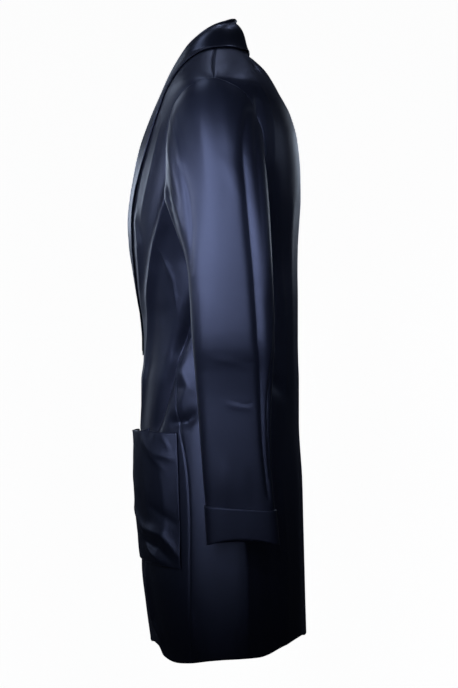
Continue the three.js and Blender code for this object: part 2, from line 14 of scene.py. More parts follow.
import bmesh
import bpy
import numpy as np
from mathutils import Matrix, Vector


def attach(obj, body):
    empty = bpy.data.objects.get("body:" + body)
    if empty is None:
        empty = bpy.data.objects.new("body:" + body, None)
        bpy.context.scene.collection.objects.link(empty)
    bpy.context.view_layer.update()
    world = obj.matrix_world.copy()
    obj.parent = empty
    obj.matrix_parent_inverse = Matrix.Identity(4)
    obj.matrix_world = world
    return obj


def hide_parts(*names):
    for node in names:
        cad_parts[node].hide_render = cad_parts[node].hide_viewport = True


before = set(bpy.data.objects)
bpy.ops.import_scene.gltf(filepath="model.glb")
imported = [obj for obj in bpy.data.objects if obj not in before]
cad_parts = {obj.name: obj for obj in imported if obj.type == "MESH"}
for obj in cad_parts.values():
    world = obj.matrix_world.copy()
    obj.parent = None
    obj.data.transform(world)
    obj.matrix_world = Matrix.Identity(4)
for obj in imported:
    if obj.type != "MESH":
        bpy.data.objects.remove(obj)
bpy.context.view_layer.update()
print("nodes:", ", ".join(sorted(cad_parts)))

# %% [markdown]
# ## Camera
#
# The robe is looked at from its left side, square on, from 2.5 m, with the camera level at half
# the robe's height. No depth of field and no shift are needed.

# %% Camera
SENSOR = 36
LONG_SIDES = 1667 / 688  # the focal length over the long side of the picture

camera_data = bpy.data.cameras.new("camera")
camera_data.sensor_fit = "AUTO"
camera_data.sensor_width = SENSOR
camera_data.lens = SENSOR * LONG_SIDES
camera = bpy.data.objects.new("camera", camera_data)
camera.location = (2.5, 0.019, -0.430)
camera.rotation_euler = (math.radians(90), 0, math.radians(90))
bpy.context.scene.collection.objects.link(camera)
bpy.context.scene.camera = camera
print("camera lens", round(camera_data.lens, 1), "mm at", tuple(camera.location))

# %% [markdown]
# ## Sizes
#
# The same girths, seams and edges as the solids have. Each table names its columns, and a curve
# that never overshoots runs through the rows. CLOTH is how thick a shell is, SEAM how far an edge
# stays back from its seam, and OVAL how square the round of the body is, where 2 is an ellipse.

# %% Tables of sizes
CLOTH, SEAM = 1.0, 0.2
HEM, ARMPIT, NECK_Z, NECK_BACK_Z, TIP_Z = -863, -320, 8, 5, -66
OVAL = 2.2
ROUND = 2 / OVAL
PER_DEGREE, ARM_PER_DEGREE = 2.9, 0.95  # millimetres of cloth to a degree round it


def hermite(t, start, end, leaving, arriving):
    """A cubic from start to end with given slopes at both."""
    return (
        (2 * t**3 - 3 * t**2 + 1) * start
        + (t**3 - 2 * t**2 + t) * leaving
        + (3 * t**2 - 2 * t**3) * end
        + (t**3 - t**2) * arriving
    )


def curve(keys, values):
    """A smooth function through the values, as an array function of the key."""
    keys, values = np.asarray(keys, float), np.asarray(values, float)
    rise = np.diff(values) / np.diff(keys)
    slope = np.empty(len(keys))
    slope[0], slope[-1] = rise[0], rise[-1]
    before, after = rise[:-1], rise[1:]
    with np.errstate(divide="ignore", invalid="ignore"):
        inner = np.where(before * after > 0, 2 * before * after / (before + after), 0.0)
    slope[1:-1] = inner

    def at(key):
        key = np.clip(np.asarray(key, float), keys[0], keys[-1])
        i = np.clip(np.searchsorted(keys, key, side="right") - 1, 0, len(keys) - 2)
        step = keys[i + 1] - keys[i]
        slopes = step * slope[i], step * slope[i + 1]
        return hermite((key - keys[i]) / step, values[i], values[i + 1], *slopes)

    return at


def columns(names, rows):
    """Named curves, one for each column, over the first column."""
    rows = sorted(rows)
    keys = [row[0] for row in rows]
    return {name: curve(keys, [row[i + 1] for row in rows]) for i, name in enumerate(names[1:])}


BODY = columns(("z", "half", "front", "back", "middle"), [
    (20, 44, -38, 36, 0), (8, 70, -45, 42, 0), (5, 77, -47, 46, 0),
    (-4, 96, -52, 50.5, -1), (-12, 113, -54, 59.5, -2), (-28, 147, -61, 75, -4),
    (-49, 191, -71, 87.5, -4), (-58, 207, -75, 92, -3), (-66, 217.5, -79, 96, -2),
    (-78, 225, -84.5, 103, -1), (-94, 228, -91, 111, 0), (-130, 229, -105, 121, 0),
    (-178, 225, -119, 125.5, -1), (-214, 219, -126, 126, -4),
    (-251, 209, -129.5, 124, -8), (-285, 197, -127.5, 122, -12),
    (-320, 188, -122.5, 121.5, -14), (-364, 184, -115.5, 122, -8),
    (-394, 183, -110, 122, -3), (-424, 183, -108, 122, 0),
    (-454, 185, -108.5, 122.5, 2), (-484, 187, -112, 123.5, 3),
    (-544, 194, -112, 123.5, 6), (-634, 204, -111, 128.5, 10),
    (-694, 210, -110.3, 130, 12), (-754, 216, -111, 131.5, 14),
    (-814, 221, -104.8, 133, 16), (-863, 224, -98, 134.5, 17),
])
HEM_LINE = columns(("angle", "lift"), [
    (-30, -3), (0, -3), (15, 0), (27, 6), (33, 5), (40, -6), (52, -9.5), (65, -6.5),
    (80, -0.5), (91, 2), (101, 2.8), (110, 3), (117, 5), (130, 11.5), (150, 16),
    (165, 9), (180, 4),
])
ARMHOLE = columns(("z", "front", "back"), [
    (-66, -2, -2), (-66.1, -5.2, 0.2), (-66.5, -9.2, 2.6), (-67.3, -13.5, 5.4),
    (-68.5, -18, 8), (-73, -30, 20), (-79, -40, 31), (-93, -53, 46),
    (-107, -60, 55), (-129, -64.5, 64), (-148, -66.5, 67), (-190, -66.5, 68),
    (-227, -64, 65), (-250, -59, 60), (-274, -52, 51), (-292, -44, 40),
    (-306, -35, 24), (-315, -26, 6), (-320, -14, -14),
])
SIDE = columns(("z", "y"), [
    (-320, -14), (-400, -38), (-493, -54), (-543, -51), (-590, -41), (-631, -37),
    (-673, -35), (-863, -35),
])
FRONT_EDGE = columns(("z", "x"), [
    (8, 70), (-2, 71.5), (-16, 71), (-34, 66.5), (-67, 61), (-101, 57), (-143, 53),
    (-178, 48), (-217, 39.5), (-275, 26.5), (-330, 16.5), (-380, 7.5), (-420, 0),
    (-450, -12), (-480, -28), (-540, -38), (-640, -45), (-863, -50),
])
ARM = columns(("z", "near", "far", "front", "rear"), [
    (-345, 195, 286, -34.5, 77.5), (-380, 195, 285.5, -32.5, 79),
    (-411, 195, 284.5, -31, 80), (-435, 197, 282.5, -29, 80),
    (-470, 200, 275.5, -26, 78), (-506, 203, 271, -23, 75.5),
    (-560, 208, 268, -19, 74.5), (-614, 212, 266, -15, 76.5),
    (-652, 215, 264, -11.5, 80), (-705, 217, 263, -8, 85),
])
ARM_TOP, ARM_FACE, ARM_ROUND = -345, 0.42, 0.92
CUFF = {"top": -652, "bottom": -701, "out": 2.2, "lap": 12, "arch": 9, "slant": 3}
COLLAR = columns(("s", "rx", "ry", "rz", "ex", "ey", "ez", "inner"), [
    (0, 0, 24.9, 53.9, 0, 49, 4, 10), (1, 20, 22.3, 52.3, 37, 48, 3, 10),
    (2, 37, 13.3, 47, 66, 36, 2, 10), (3, 51, 0, 40.5, 86, 17, 0, 10),
    (4, 60, -14, 31.3, 96, -3, -4, 10), (5, 64, -26, 21.5, 103, -20, -13, 11),
    (6, 63, -39, 9.5, 109, -34, -26, 12), (7, 60, -53, -9.8, 115, -47, -42, 13),
    (8, 57, -67, -34, 120, -60, -60, 13), (9, 54, -82, -67, 125, -74, -90, 13),
    (10, 50, -97, -101, 126, -86, -126, 13),
    (11, 46, -112, -143, 123, -99, -160, 13),
    (12, 41, -120, -178, 115, -109, -186, 13),
    (13, 32, -126, -217, 106, -117, -214, 13),
    (14, 18, -129.5, -275, 92, -122, -258, 13),
    (15, 8, -122.5, -330, 68, -118, -312, 13),
    (16, -1, -114.5, -380, 42, -113, -364, 9),
    (17, -9, -111, -420, 19, -110, -409, 7),
    (18, -19, -110.5, -446, 2, -110.5, -440, 5),
])
STAND_FOOT = columns(("s", "x", "y", "z"), [
    (0, 0, 40, -1), (1, 21, 38, -1), (2, 42, 28, 0), (3, 59, 12, 1), (4, 65, -5, 1),
    (5, 65.5, -20, -3), (6, 65.5, -35, -13), (7, 69, -49, -25),
])
COLLAR_OUT, COLLAR_IN = 2.1, -3.3
POCKET = {"top": -555, "bottom": -742, "top_angles": (13, 62), "bottom_angles": (12, 63)}
POCKET |= {"lift": 1.1, "bag": 11, "mouth": 8, "gap": 0.4}
POCKET_WIDE, POCKET_LONG = 155, 187
UNDER = {"depth": 10, "start": -290, "full": -366, "x": 92, "fade": 160}
print("tables ready")

# %% [markdown]
# ## Folds
#
# Silk satin folds in long, soft ridges and troughs. Each row is one fold: its rise outward (below
# zero a trough), its half width, and then its path as angle and height in turn. The largest are in
# the solids too, and the finer ones are only here. Angle is 0 at the centre front, 90 at the side
# and 180 at the centre back; on a sleeve it is 0 outside, 90 in front and -90 behind. On a pocket,
# across and up take the place of angle and height.

# %% Fold tables
FOLDS = {}
FOLDS["left"] = [
    (5, 13, 62, -150, 65, -200, 60, -260, 48, -325, 37, -370, 28, -440, 18, -550),
    (3, 12, 31, -250, 34, -285, 31, -325, 22, -380),
    (-7, 13, 78, -375, 70, -405, 60, -447, 49, -512, 42, -550), (-2.5, 9, 76, -402, 64, -432),
    (5, 18, 60, -458, 67, -470, 72, -490, 64, -522), (-3.5, 9, 58, -541, 70, -538, 76, -526),
    (4, 38, 22, -575, 20, -705), (3, 10, 26, -750, 28, -795, 31, -825, 38, -848),
    (4, 11, 108, -95, 101, -140, 112, -175, 116, -240), (-3, 10, 120, -90, 117, -160),
    (-3, 10, 134, -26, 143, -38), (-4, 16, 127, -205, 132, -480), (3, 18, 150, -240, 152, -520),
    (-3, 12, 96, -420, 118, -470, 140, -500), (3.5, 22, 98, -600, 101, -850),
    (-3, 20, 118, -590, 122, -850), (3, 20, 152, -570, 150, -850),
]
FOLDS["right"] = [
    (5, 13, 60, -160, 63, -215, 55, -275, 45, -335, 35, -385, 29, -450),
    (2.5, 11, 33, -240, 36, -290, 27, -350), (-6, 12, 80, -370, 68, -415, 58, -458, 50, -500),
    (4, 17, 64, -470, 70, -500, 66, -530), (-3, 9, 60, -550, 72, -543), (3, 38, 40, -590, 38, -700),
    (3.5, 11, 106, -110, 104, -150, 114, -190, 113, -235), (-3, 10, 121, -95, 115, -165),
    (-2.5, 10, 137, -30, 146, -44), (-4, 15, 126, -215, 131, -455), (3, 17, 148, -250, 150, -500),
    (-3, 11, 98, -430, 120, -482), (3.5, 20, 96, -610, 100, -850), (-3, 18, 116, -590, 119, -850),
    (3, 20, 149, -560, 147, -850),
]
FOLDS["sleeve_left"] = [
    (4.5, 8, -41, -115, -32, -180, -31, -300, -35, -425, -47, -520, -58, -632),
    (-2.5, 12, -62, -190, -60, -360), (2.5, 22, 40, -150, 42, -240, 40, -340),
    (3, 8, -84, -410, -70, -480, -68, -520, -72, -605), (-1.5, 9, -6, -185, -33, -245),
    (3, 9, 50, -195, 46, -226, 52, -274, 68, -325), (-0.5, 5, 8, -511, -21, -515),
    (-0.4, 5, 28, -450, -8, -455), (-3, 9, 104, -218, 84, -250, 88, -292),
]
FOLDS["sleeve_right"] = [
    (4.5, 8, -39, -120, -33, -190, -30, -310, -36, -430, -46, -530, -56, -632),
    (-2.5, 12, -60, -200, -63, -345), (2.3, 22, 40, -155, 42, -240, 40, -335),
    (3, 8, -80, -400, -71, -470, -70, -590), (-2.5, 9, -10, -200, -30, -262),
    (3, 9, 48, -205, 47, -260, 62, -330), (-0.5, 5, 12, -495, -18, -502),
    (-3, 9, 100, -225, 86, -285),
]
FINE_FOLDS = {}
FINE_FOLDS["left"] = [
    (2, 4, 62, -152, 65, -186, 64, -218, 58, -266, 47, -327, 37, -366),
    (1.6, 4, 36, -372, 28, -433, 27, -465, 24, -497, 18, -551),
    (1.5, 4, 31, -250, 34, -284, 31, -325, 23, -365, 19, -392),
    (-5.5, 8, 77, -384, 66, -423, 60, -447, 55, -481, 49, -512, 42, -548),
    (-2, 4, 58, -541, 70, -538, 76, -526), (1.5, 6, 58, -299, 66, -341, 65, -391),
    (1.2, 6, 61, -459, 67, -466, 72, -487, 66, -512), (1.2, 6, 44, -120, 43, -190, 38, -250),
    (1, 8, 50, -600, 53, -660, 50, -730), (1.6, 4, 27, -749, 28, -793, 31, -827, 38, -845),
    (1.2, 7, 69, -800, 70, -850), (1.6, 4, 108, -101, 101, -141, 112, -172, 115, -196, 116, -215),
    (-1.6, 4, 119, -93, 117, -160), (-1.6, 5, 136, -28, 142, -34),
    (1, 7, 128, -60, 131, -120, 129, -180), (-1.2, 6, 112, -260, 118, -350, 115, -430),
    (1.2, 7, 140, -300, 144, -420, 141, -540), (1, 9, 165, -160, 168, -330),
    (1.4, 6, 100, -640, 103, -740, 102, -850), (1.3, 7, 133, -620, 136, -740, 134, -855),
    (-1.2, 9, 160, -600, 163, -850),
]
FINE_FOLDS["right"] = [
    (2, 4, 60, -165, 64, -210, 57, -262, 47, -320, 37, -372),
    (1.4, 4, 34, -386, 28, -448, 24, -520), (1.3, 4, 33, -245, 35, -300, 28, -352),
    (-3.4, 7, 76, -386, 67, -418, 59, -455, 51, -500), (-1.8, 4, 60, -549, 71, -543),
    (1.3, 6, 60, -310, 65, -380), (1, 6, 46, -130, 42, -230), (1.4, 5, 30, -760, 33, -840),
    (1.5, 4, 106, -112, 103, -150, 113, -188), (-1.4, 4, 121, -100, 116, -160),
    (-1.4, 5, 138, -32, 145, -40), (1, 7, 130, -70, 127, -175), (-1.2, 6, 114, -270, 119, -410),
    (1.1, 7, 143, -310, 139, -520), (1, 9, 167, -190, 164, -350), (1.3, 6, 98, -650, 104, -850),
    (1.2, 7, 131, -630, 134, -850),
]
FINE_FOLDS["sleeve_left"] = [
    (1.6, 3.5, -41, -113, -33, -154, -31, -215, -31, -294, -32, -353),
    (1.4, 3.5, -32, -356, -35, -425, -44, -489, -51, -564, -59, -625),
    (1.5, 4, -84, -412, -69, -479, -67, -522, -72, -560, -72, -607),
    (1.2, 5, 56, -198, 52, -226, 56, -274, 70, -320), (0.6, 4, -9, -191, -33, -245),
    (0.5, 2.4, 2, -507, -10, -511, -20, -511, -28, -507), (0.3, 3, -3, -452, -16, -455, -34, -456),
    (1, 6, 62, -125, 60, -180, 58, -235), (0.6, 9, 48, -118, 44, -165),
    (-0.8, 6, 76, -130, 73, -200), (1.3, 4, 106, -219, 83, -248, 88, -291),
    (-1, 8, 22, -596, 19, -655), (0.9, 7, -20, -606, -25, -655), (1, 8, 140, -380, 150, -520),
]
FINE_FOLDS["sleeve_right"] = [
    (1.6, 3.5, -39, -118, -33, -190, -30, -300),
    (1.4, 3.5, -31, -320, -36, -430, -46, -530, -56, -630),
    (1.4, 4, -80, -402, -70, -470, -70, -590), (1.3, 4, 48, -205, 47, -260, 62, -328),
    (0.9, 4, -12, -200, -31, -258), (0.5, 2.4, 8, -493, -6, -497, -24, -494),
    (1, 6, 64, -130, 59, -230), (0.6, 9, 46, -120, 45, -170), (1.2, 4, 100, -225, 86, -283),
    (-1, 8, 18, -600, 21, -655),
]
POCKET_FOLDS = [
    (4.2, 8, 30, -112, 70, -136, 120, -141, 151, -168), (-3.6, 9, 56, -154, 104, -160, 134, -176),
    (2.2, 5, 44, -140, 84, -168, 112, -180), (-1.8, 8, 96, -104, 128, -118, 148, -126),
    (2.2, 7, 84, -14, 112, -30, 146, -34), (1.1, 5, 98, -30, 128, -50), (0.9, 4, 126, -5, 141, -22),
    (0.9, 8, 14, -50, 40, -80, 60, -84), (0.8, 9, 84, -70, 88, -120),
]


def ease(t):
    t = np.clip(t, 0, 1)
    return t * t * (3 - 2 * t)


def power(value, exponent):
    return np.sign(value) * np.abs(value) ** exponent


def fold_rise(folds, angle, z, per_degree, sharp=2.0):
    """How far a surface rises at each angle and height, over all the folds."""
    total = np.zeros(np.broadcast(angle, z).shape)
    for rise, width, *path in folds:
        spots = list(zip(path[::2], path[1::2]))
        best = np.full(total.shape, np.inf)
        along = np.zeros(total.shape)
        for i, ((a0, z0), (a1, z1)) in enumerate(zip(spots, spots[1:])):
            dx, dz = (a1 - a0) * per_degree, z1 - z0
            px, pz = (angle - a0) * per_degree, z - z0
            t = np.clip((px * dx + pz * dz) / (dx * dx + dz * dz), 0, 1)
            far = np.hypot(px - t * dx, pz - t * dz)
            nearer = far < best
            best = np.where(nearer, far, best)
            along = np.where(nearer, (i + t) / (len(spots) - 1), along)
        taper = np.sqrt(np.sin(np.pi * (0.06 + 0.88 * along)))
        total += rise * taper * np.exp(-((best / width) ** sharp))
    return total


def all_folds(name, angle, z, per_degree):
    """The large folds have round tops, and the fine ones are pressed sharper."""
    large = fold_rise(FOLDS[name], angle, z, per_degree)
    return large + fold_rise(FINE_FOLDS[name], angle, z, per_degree, sharp=1.4)


print("folds:", {name: len(rows) + len(FINE_FOLDS[name]) for name, rows in FOLDS.items()})

# %% [markdown]
# ## The worn form
#
# At each height the robe is a rounded oval. A point on it is given by an angle from the centre
# front and a height. The cloth of each side is that form with its folds laid on, and where the
# right front passes under the left one, it sinks.

# %% Body form
def oval_depth(z, forward):
    middle = BODY["middle"](z)
    return np.where(forward, middle - BODY["front"](z), BODY["back"](z) - middle)


def body_point(angle, z):
    middle, depth = BODY["middle"](z), oval_depth(z, np.cos(angle) > 0)
    x = BODY["half"](z) * power(np.sin(angle), ROUND)
    y = middle - depth * power(np.cos(angle), ROUND)
    return np.stack(np.broadcast_arrays(x, y, z), -1).astype(float)


def angle_at_x(x, z, back):
    angle = np.arcsin(power(np.clip(x / BODY["half"](z), -1, 1), 1 / ROUND))
    return np.where(back, np.pi - angle, angle)


def angle_at_y(y, z):
    middle = BODY["middle"](z)
    depth = oval_depth(z, y < middle)
    return np.arccos(power(np.clip((middle - y) / depth, -1, 1), 1 / ROUND))


def under(angle, z):
    x = body_point(angle, z)[..., 0]
    down = ease((UNDER["start"] - z) / (UNDER["start"] - UNDER["full"]))
    across = 1 - ease((x - UNDER["x"]) / (UNDER["fade"] - UNDER["x"]))
    return np.where(np.cos(angle) > 0, UNDER["depth"] * down * across, 0.0)


def on_cloth(side, angle, z, out=0.0):
    """Points that far out from one side's cloth, and the ways out of it."""
    surface = cloth(side)
    ways = outward_at(surface, angle, z)
    return surface(angle, z) + ways * np.asarray(out)[..., None], ways


def unit(vectors):
    return vectors / np.maximum(np.linalg.norm(vectors, axis=-1, keepdims=True), 1e-9)


def outward_at(surface, angle, z):
    """Outward direction of a surface given as a function of angle and height."""
    across = surface(angle + 0.006, z) - surface(angle - 0.006, z)
    down = surface(angle, z - 0.4) - surface(angle, z + 0.4)
    return unit(np.cross(down, across))


def body_normal(angle, z):
    return outward_at(body_point, angle, z)


SEAM_DIP = -0.9, 2.6


def seam_dips():
    """The cloth sinks a little towards a seam: troughs along the armhole and the side seam."""
    rows = []
    for edge, (top, low), step in (
        (ARMHOLE["front"], (-74, ARMPIT), -16),
        (ARMHOLE["back"], (-74, ARMPIT), -16),
        (SIDE["y"], (ARMPIT, HEM), -36),
    ):
        heights = np.arange(top, low, step)
        angles = np.degrees(angle_at_y(edge(heights), heights))
        rows.append((*SEAM_DIP, *np.stack([angles, heights], -1).ravel()))
    return rows


SEAM_DIPS = seam_dips()


def cloth(side):
    """The surface of one side's cloth, worked out as a left one."""

    def surface(angle, z):
        degrees = np.degrees(angle)
        rise = all_folds(side, degrees, z, PER_DEGREE)
        rise = rise + fold_rise(SEAM_DIPS, degrees, z, PER_DEGREE)
        sink = under(angle, z) if side == "right" else 0.0
        return body_point(angle, z) + body_normal(angle, z) * (rise - sink)[..., None]

    return surface


def body_distance(points):
    """Signed distance from the form, near enough close to it, and the way out of it."""

    def value(p):
        x, y, z = np.moveaxis(p, -1, 0)
        deep = y - BODY["middle"](z)
        wide = np.abs(x / BODY["half"](z)) ** OVAL
        return (wide + np.abs(deep / oval_depth(z, deep < 0)) ** OVAL) ** (1 / OVAL) - 1

    here = value(points)
    grad = np.stack([(value(points + step) - here) * 2 for step in np.eye(3) * 0.5], -1)
    steep = np.linalg.norm(grad, axis=-1)
    return here / steep, grad / steep[..., None]


def keep_clear(points, distance):
    """Moves points until they lie that far outside the form, or inside if below zero."""
    points = points.copy()
    for _ in range(4):
        far, way = body_distance(points)
        short = distance - far
        short = np.maximum(short, 0) if distance > 0 else np.minimum(short, 0)
        short = np.where(points[..., 2] < NECK_Z + 4, short, 0)
        points += way * short[..., None]
    return points


ring = body_point(np.linspace(0, 2 * np.pi, 200), np.full(200, -200.0))
print("chest girth", round(float(np.linalg.norm(np.diff(ring, axis=0), axis=1).sum())), "mm")

# %% [markdown]
# ## From rows of points to a thin shell
#
# A piece of cloth is a grid of outer points and a grid of inner ones, joined round its edge.
# Edges that hang free get a small round lip, and edges in a seam stay square and close.

# %% Shell maker
made = {}
BESIDE = {
    "first": (0, 1),
    "start": (np.s_[:, 0], np.s_[:, 1]),
    "end": (np.s_[:, -1], np.s_[:, -2]),
}


def add_object(name, data):
    thing = bpy.data.objects.new(name, data)
    bpy.context.scene.collection.objects.link(thing)
    return thing


def grid_normals(rows, ring):
    across = np.gradient(rows, axis=1)
    if ring:
        across = np.roll(rows, -1, axis=1) - np.roll(rows, 1, axis=1)
    return unit(np.cross(np.gradient(rows, axis=0), across))


def draw_back(rows, edges):
    """Draws the named edges of a grid back from their seams."""
    out = rows.copy()
    for edge in edges:
        line, inward = BESIDE[edge]
        out[line] += unit(rows[inward] - rows[line]) * SEAM
    return out


def lip(outer, inner, beyond):
    """Rows that round an edge off, from the outer layer over to the inner one."""
    away = unit(outer - beyond)
    half = np.linalg.norm(outer - inner, axis=-1, keepdims=True) / 2
    middle, side = (outer + inner) / 2, (outer - inner) / 2
    turns = [math.radians(t) for t in (45, 90, 135)]
    return [middle + side * math.cos(t) + away * half * math.sin(t) for t in turns]


def shell(name, outer, inner, flat_uv, ring=False, lips=()):
    """A closed thin shell as a mesh object, with the cloth's own coordinates as its UV map."""
    if "right" in name:
        outer, inner = [g[:, ::-1] * np.array([-1, 1, 1]) for g in (outer, inner)]
        flat_uv = flat_uv[:, ::-1] * np.array([-1, 1])
    rows, cols = outer.shape[:2]
    flat_outer, flat_inner = outer.reshape(-1, 3), inner.reshape(-1, 3)
    all_uv = flat_uv.reshape(-1, 2)
    points, uvs = [flat_outer, flat_inner], [all_uv, all_uv]
    base = rows * cols
    total = 2 * base
    index = np.arange(base).reshape(rows, cols)
    if ring:
        index = np.concatenate([index, index[:, :1]], axis=1)
    a, b, c, d = index[:-1, :-1], index[1:, :-1], index[1:, 1:], index[:-1, 1:]
    quads = [
        np.stack([a, b, c, d], -1).reshape(-1, 4),
        np.stack([d, c, b, a], -1).reshape(-1, 4) + base,
    ]
    edges = {"first": (index[0][::-1], index[1][::-1]), "last": (index[-1], index[-2])}
    if not ring:
        edges["start"] = (index[:, 0], index[:, 1])
        edges["end"] = (index[::-1, -1], index[::-1, -2])
    for edge, (line, behind) in edges.items():
        chain = [line]
        if edge in lips:
            for row in lip(flat_outer[line], flat_inner[line], flat_outer[behind]):
                if ring:
                    row[-1] = row[0]
                points.append(row)
                uvs.append(all_uv[line])
                chain.append(np.arange(len(line)) + total)
                total += len(line)
        chain.append(line + base)
        for near, far in zip(chain, chain[1:]):
            quads.append(np.stack([near[1:], near[:-1], far[:-1], far[1:]], -1)[:, ::-1])
    points, uvs = np.concatenate(points) / 1000, np.concatenate(uvs) / 1000
    quads = np.concatenate(quads)
    mesh = bpy.data.meshes.new(name)
    mesh.from_pydata(points.tolist(), [], quads.tolist())
    layer = mesh.uv_layers.new(name="cloth")
    layer.data.foreach_set("uv", uvs[quads.ravel()].ravel())
    mesh.update(calc_edges=True)
    mesh.validate()
    tidy(mesh)
    mesh.polygons.foreach_set("use_smooth", np.ones(len(mesh.polygons), bool))
    made[name] = add_object(name, mesh)
    print(f"{name}: {len(mesh.polygons)} faces")


def tidy(mesh):
    """Joins the points that meet at the corners and turns every face outward."""
    work = bmesh.new()
    work.from_mesh(mesh)
    bmesh.ops.remove_doubles(work, verts=work.verts, dist=2e-6)
    bmesh.ops.recalc_face_normals(work, faces=work.faces)
    work.to_mesh(mesh)
    work.free()


# %% [markdown]
# ## Body panels
#
# Columns run down from the shoulder seam to the hem. At the shoulder they keep to the width of
# the cloth; lower down they spread evenly round the body.

# %% Panels
FINE = 1.0
YOKE_ROWS, SKIRT_ROWS = round(96 * FINE), round(150 * FINE)
FRONT_COLS, BACK_COLS = round(144 * FINE), round(96 * FINE)


def armhole_cells(back, rows=YOKE_ROWS):
    drop = (1 - np.cos(np.pi * np.linspace(0, 1, rows + 1))) / 2
    z = TIP_Z + (ARMPIT - TIP_Z) * drop
    y = ARMHOLE["back" if back else "front"](z)
    return drop, z, angle_at_y(y, z)


def panel_cells(back, start_x, start_z):
    """Angles and heights of a panel's grid."""
    drop, edge_z, edge_angle = armhole_cells(back)
    u = 1 - np.linspace(1, 0, (BACK_COLS if back else FRONT_COLS) + 1) ** 1.3
    share = float(BODY["half"](NECK_Z) / BODY["half"](TIP_Z)) if back else 0.0
    seam_u = np.clip((u - share) / (1 - share), 0, 1)
    top_z = NECK_Z + (TIP_Z - NECK_Z) * seam_u
    top_x = BODY["half"](top_z)
    if back:
        neck = u < share
        top_z = np.where(neck, start_z + (NECK_Z - start_z) * u / share, top_z)
        top_x = np.where(neck, BODY["half"](NECK_Z) * u / share, top_x)
    edge_x = body_point(edge_angle, edge_z)[:, 0]
    inner_z = top_z[0] + (ARMPIT - top_z[0]) * drop
    inner_x = start_x(inner_z)
    inner_angle = angle_at_x(inner_x, inner_z, back)
    low = ease(np.linspace(0, 1, YOKE_ROWS + 1) / 0.9)[:, None]
    z = top_z[None] + (ARMPIT - top_z[None]) * drop[:, None]
    shares = (top_x - top_x[0]) / (top_x[-1] - top_x[0])
    x = inner_x[:, None] * (1 - shares) + edge_x[:, None] * shares
    by_x = angle_at_x(x, z, back)
    by_angle = inner_angle[:, None] * (1 - u) + edge_angle[:, None] * u
    angle = by_x * (1 - low) + by_angle * low
    angle[:, -1], z[:, -1] = edge_angle, edge_z
    skirt = np.linspace(0, 1, SKIRT_ROWS + 1)[1:]
    low_z = ARMPIT + (HEM - ARMPIT) * skirt
    first = angle_at_x(start_x(low_z), low_z, back)
    last = angle_at_y(SIDE["y"](low_z), low_z)
    low_angle = first[:, None] * (1 - u) + last[:, None] * u
    lift = HEM_LINE["lift"](np.degrees(low_angle)) * (skirt[:, None] ** 2)
    return np.concatenate([angle, low_angle]), np.concatenate([z, low_z[:, None] + lift])


def panel(side, cells):
    angle, z = cells
    outer, ways = on_cloth(side, angle, z)
    uv = np.stack([np.degrees(angle) * PER_DEGREE, z], -1)
    return outer, outer - ways * CLOTH, uv


def front_panel(side):
    cells = panel_cells(False, FRONT_EDGE["x"], NECK_Z)
    *layers, uv = panel(side, cells)
    layers = [draw_back(layer, ("first", "end")) for layer in layers]
    shell(f"front_{side}_silk", *layers, uv, lips=("last", "start"))


def back_panel():
    cells = panel_cells(True, lambda z: np.zeros_like(z), NECK_BACK_Z)
    halves = [panel(side, cells) for side in ("left", "right")]
    grids = []
    for left, right in zip(*halves):
        flip = np.array([-1, 1, 1][: left.shape[-1]])
        other = right[:, 1:] * flip
        if left.shape[-1] == 2:
            other = np.stack([360 * PER_DEGREE - right[:, 1:, 0], right[:, 1:, 1]], -1)
        grids.append(np.concatenate([left[:, ::-1], other], axis=1))
    *layers, uv = grids
    layers = [draw_back(layer, BESIDE) for layer in layers]
    shell("back_silk", *layers, uv, lips=("last",))


front_panel("left")
front_panel("right")
back_panel()

# %% [markdown]
# ## Sleeves and cuffs
#
# Each sleeve grows out of the armhole seam, turns down over the shoulder and then hangs as a
# soft tube with a pressed crease along its back. The cuff is a separate band round its end.

# %% Sleeves
RING_HALF, CAP_ROWS, ARM_ROWS = round(72 * FINE), round(70 * FINE), round(150 * FINE)
CUFF_RING, CUFF_ROWS = round(120 * FINE), round(22 * FINE)


def arm_point(turn, z, out=0.0):
    near, far = ARM["near"](z), ARM["far"](z)
    front, rear = ARM["front"](z), ARM["rear"](z)
    flat = np.where(np.cos(turn) > 0, ARM_FACE, ARM_ROUND)
    x = (near + far) / 2 + ((far - near) / 2 + out) * power(np.cos(turn), flat)
    y = (front + rear) / 2 - ((rear - front) / 2 + out) * power(np.sin(turn), ARM_ROUND)
    return np.stack(np.broadcast_arrays(x, y, z), -1).astype(float)


def armhole_loop(side):
    """The seam from the shoulder tip down the front, under the arm and up the back."""
    _, z, front = armhole_cells(False, RING_HALF)
    _, _, back = armhole_cells(True, RING_HALF)
    angle = np.concatenate([front, back[-2:0:-1]])
    height = np.concatenate([z, z[-2:0:-1]])
    spots = cloth(side)(angle, height)
    normals = body_normal(angle, height)
    along = unit(np.roll(spots, -1, axis=0) - np.roll(spots, 1, axis=0))
    into = unit(np.cross(along, normals))
    facing = np.sum(into * (np.array([190, 0, -190]) - spots), axis=-1, keepdims=True)
    return spots, normals, into * np.sign(facing)


def smooth_ring(values, rounds=40):
    """Neighbours averaged round a ring, so that no row of a table shows as a streak."""
    for _ in range(rounds):
        values = (np.roll(values, 1, axis=0) + 2 * values + np.roll(values, -1, axis=0)) / 4
    return values


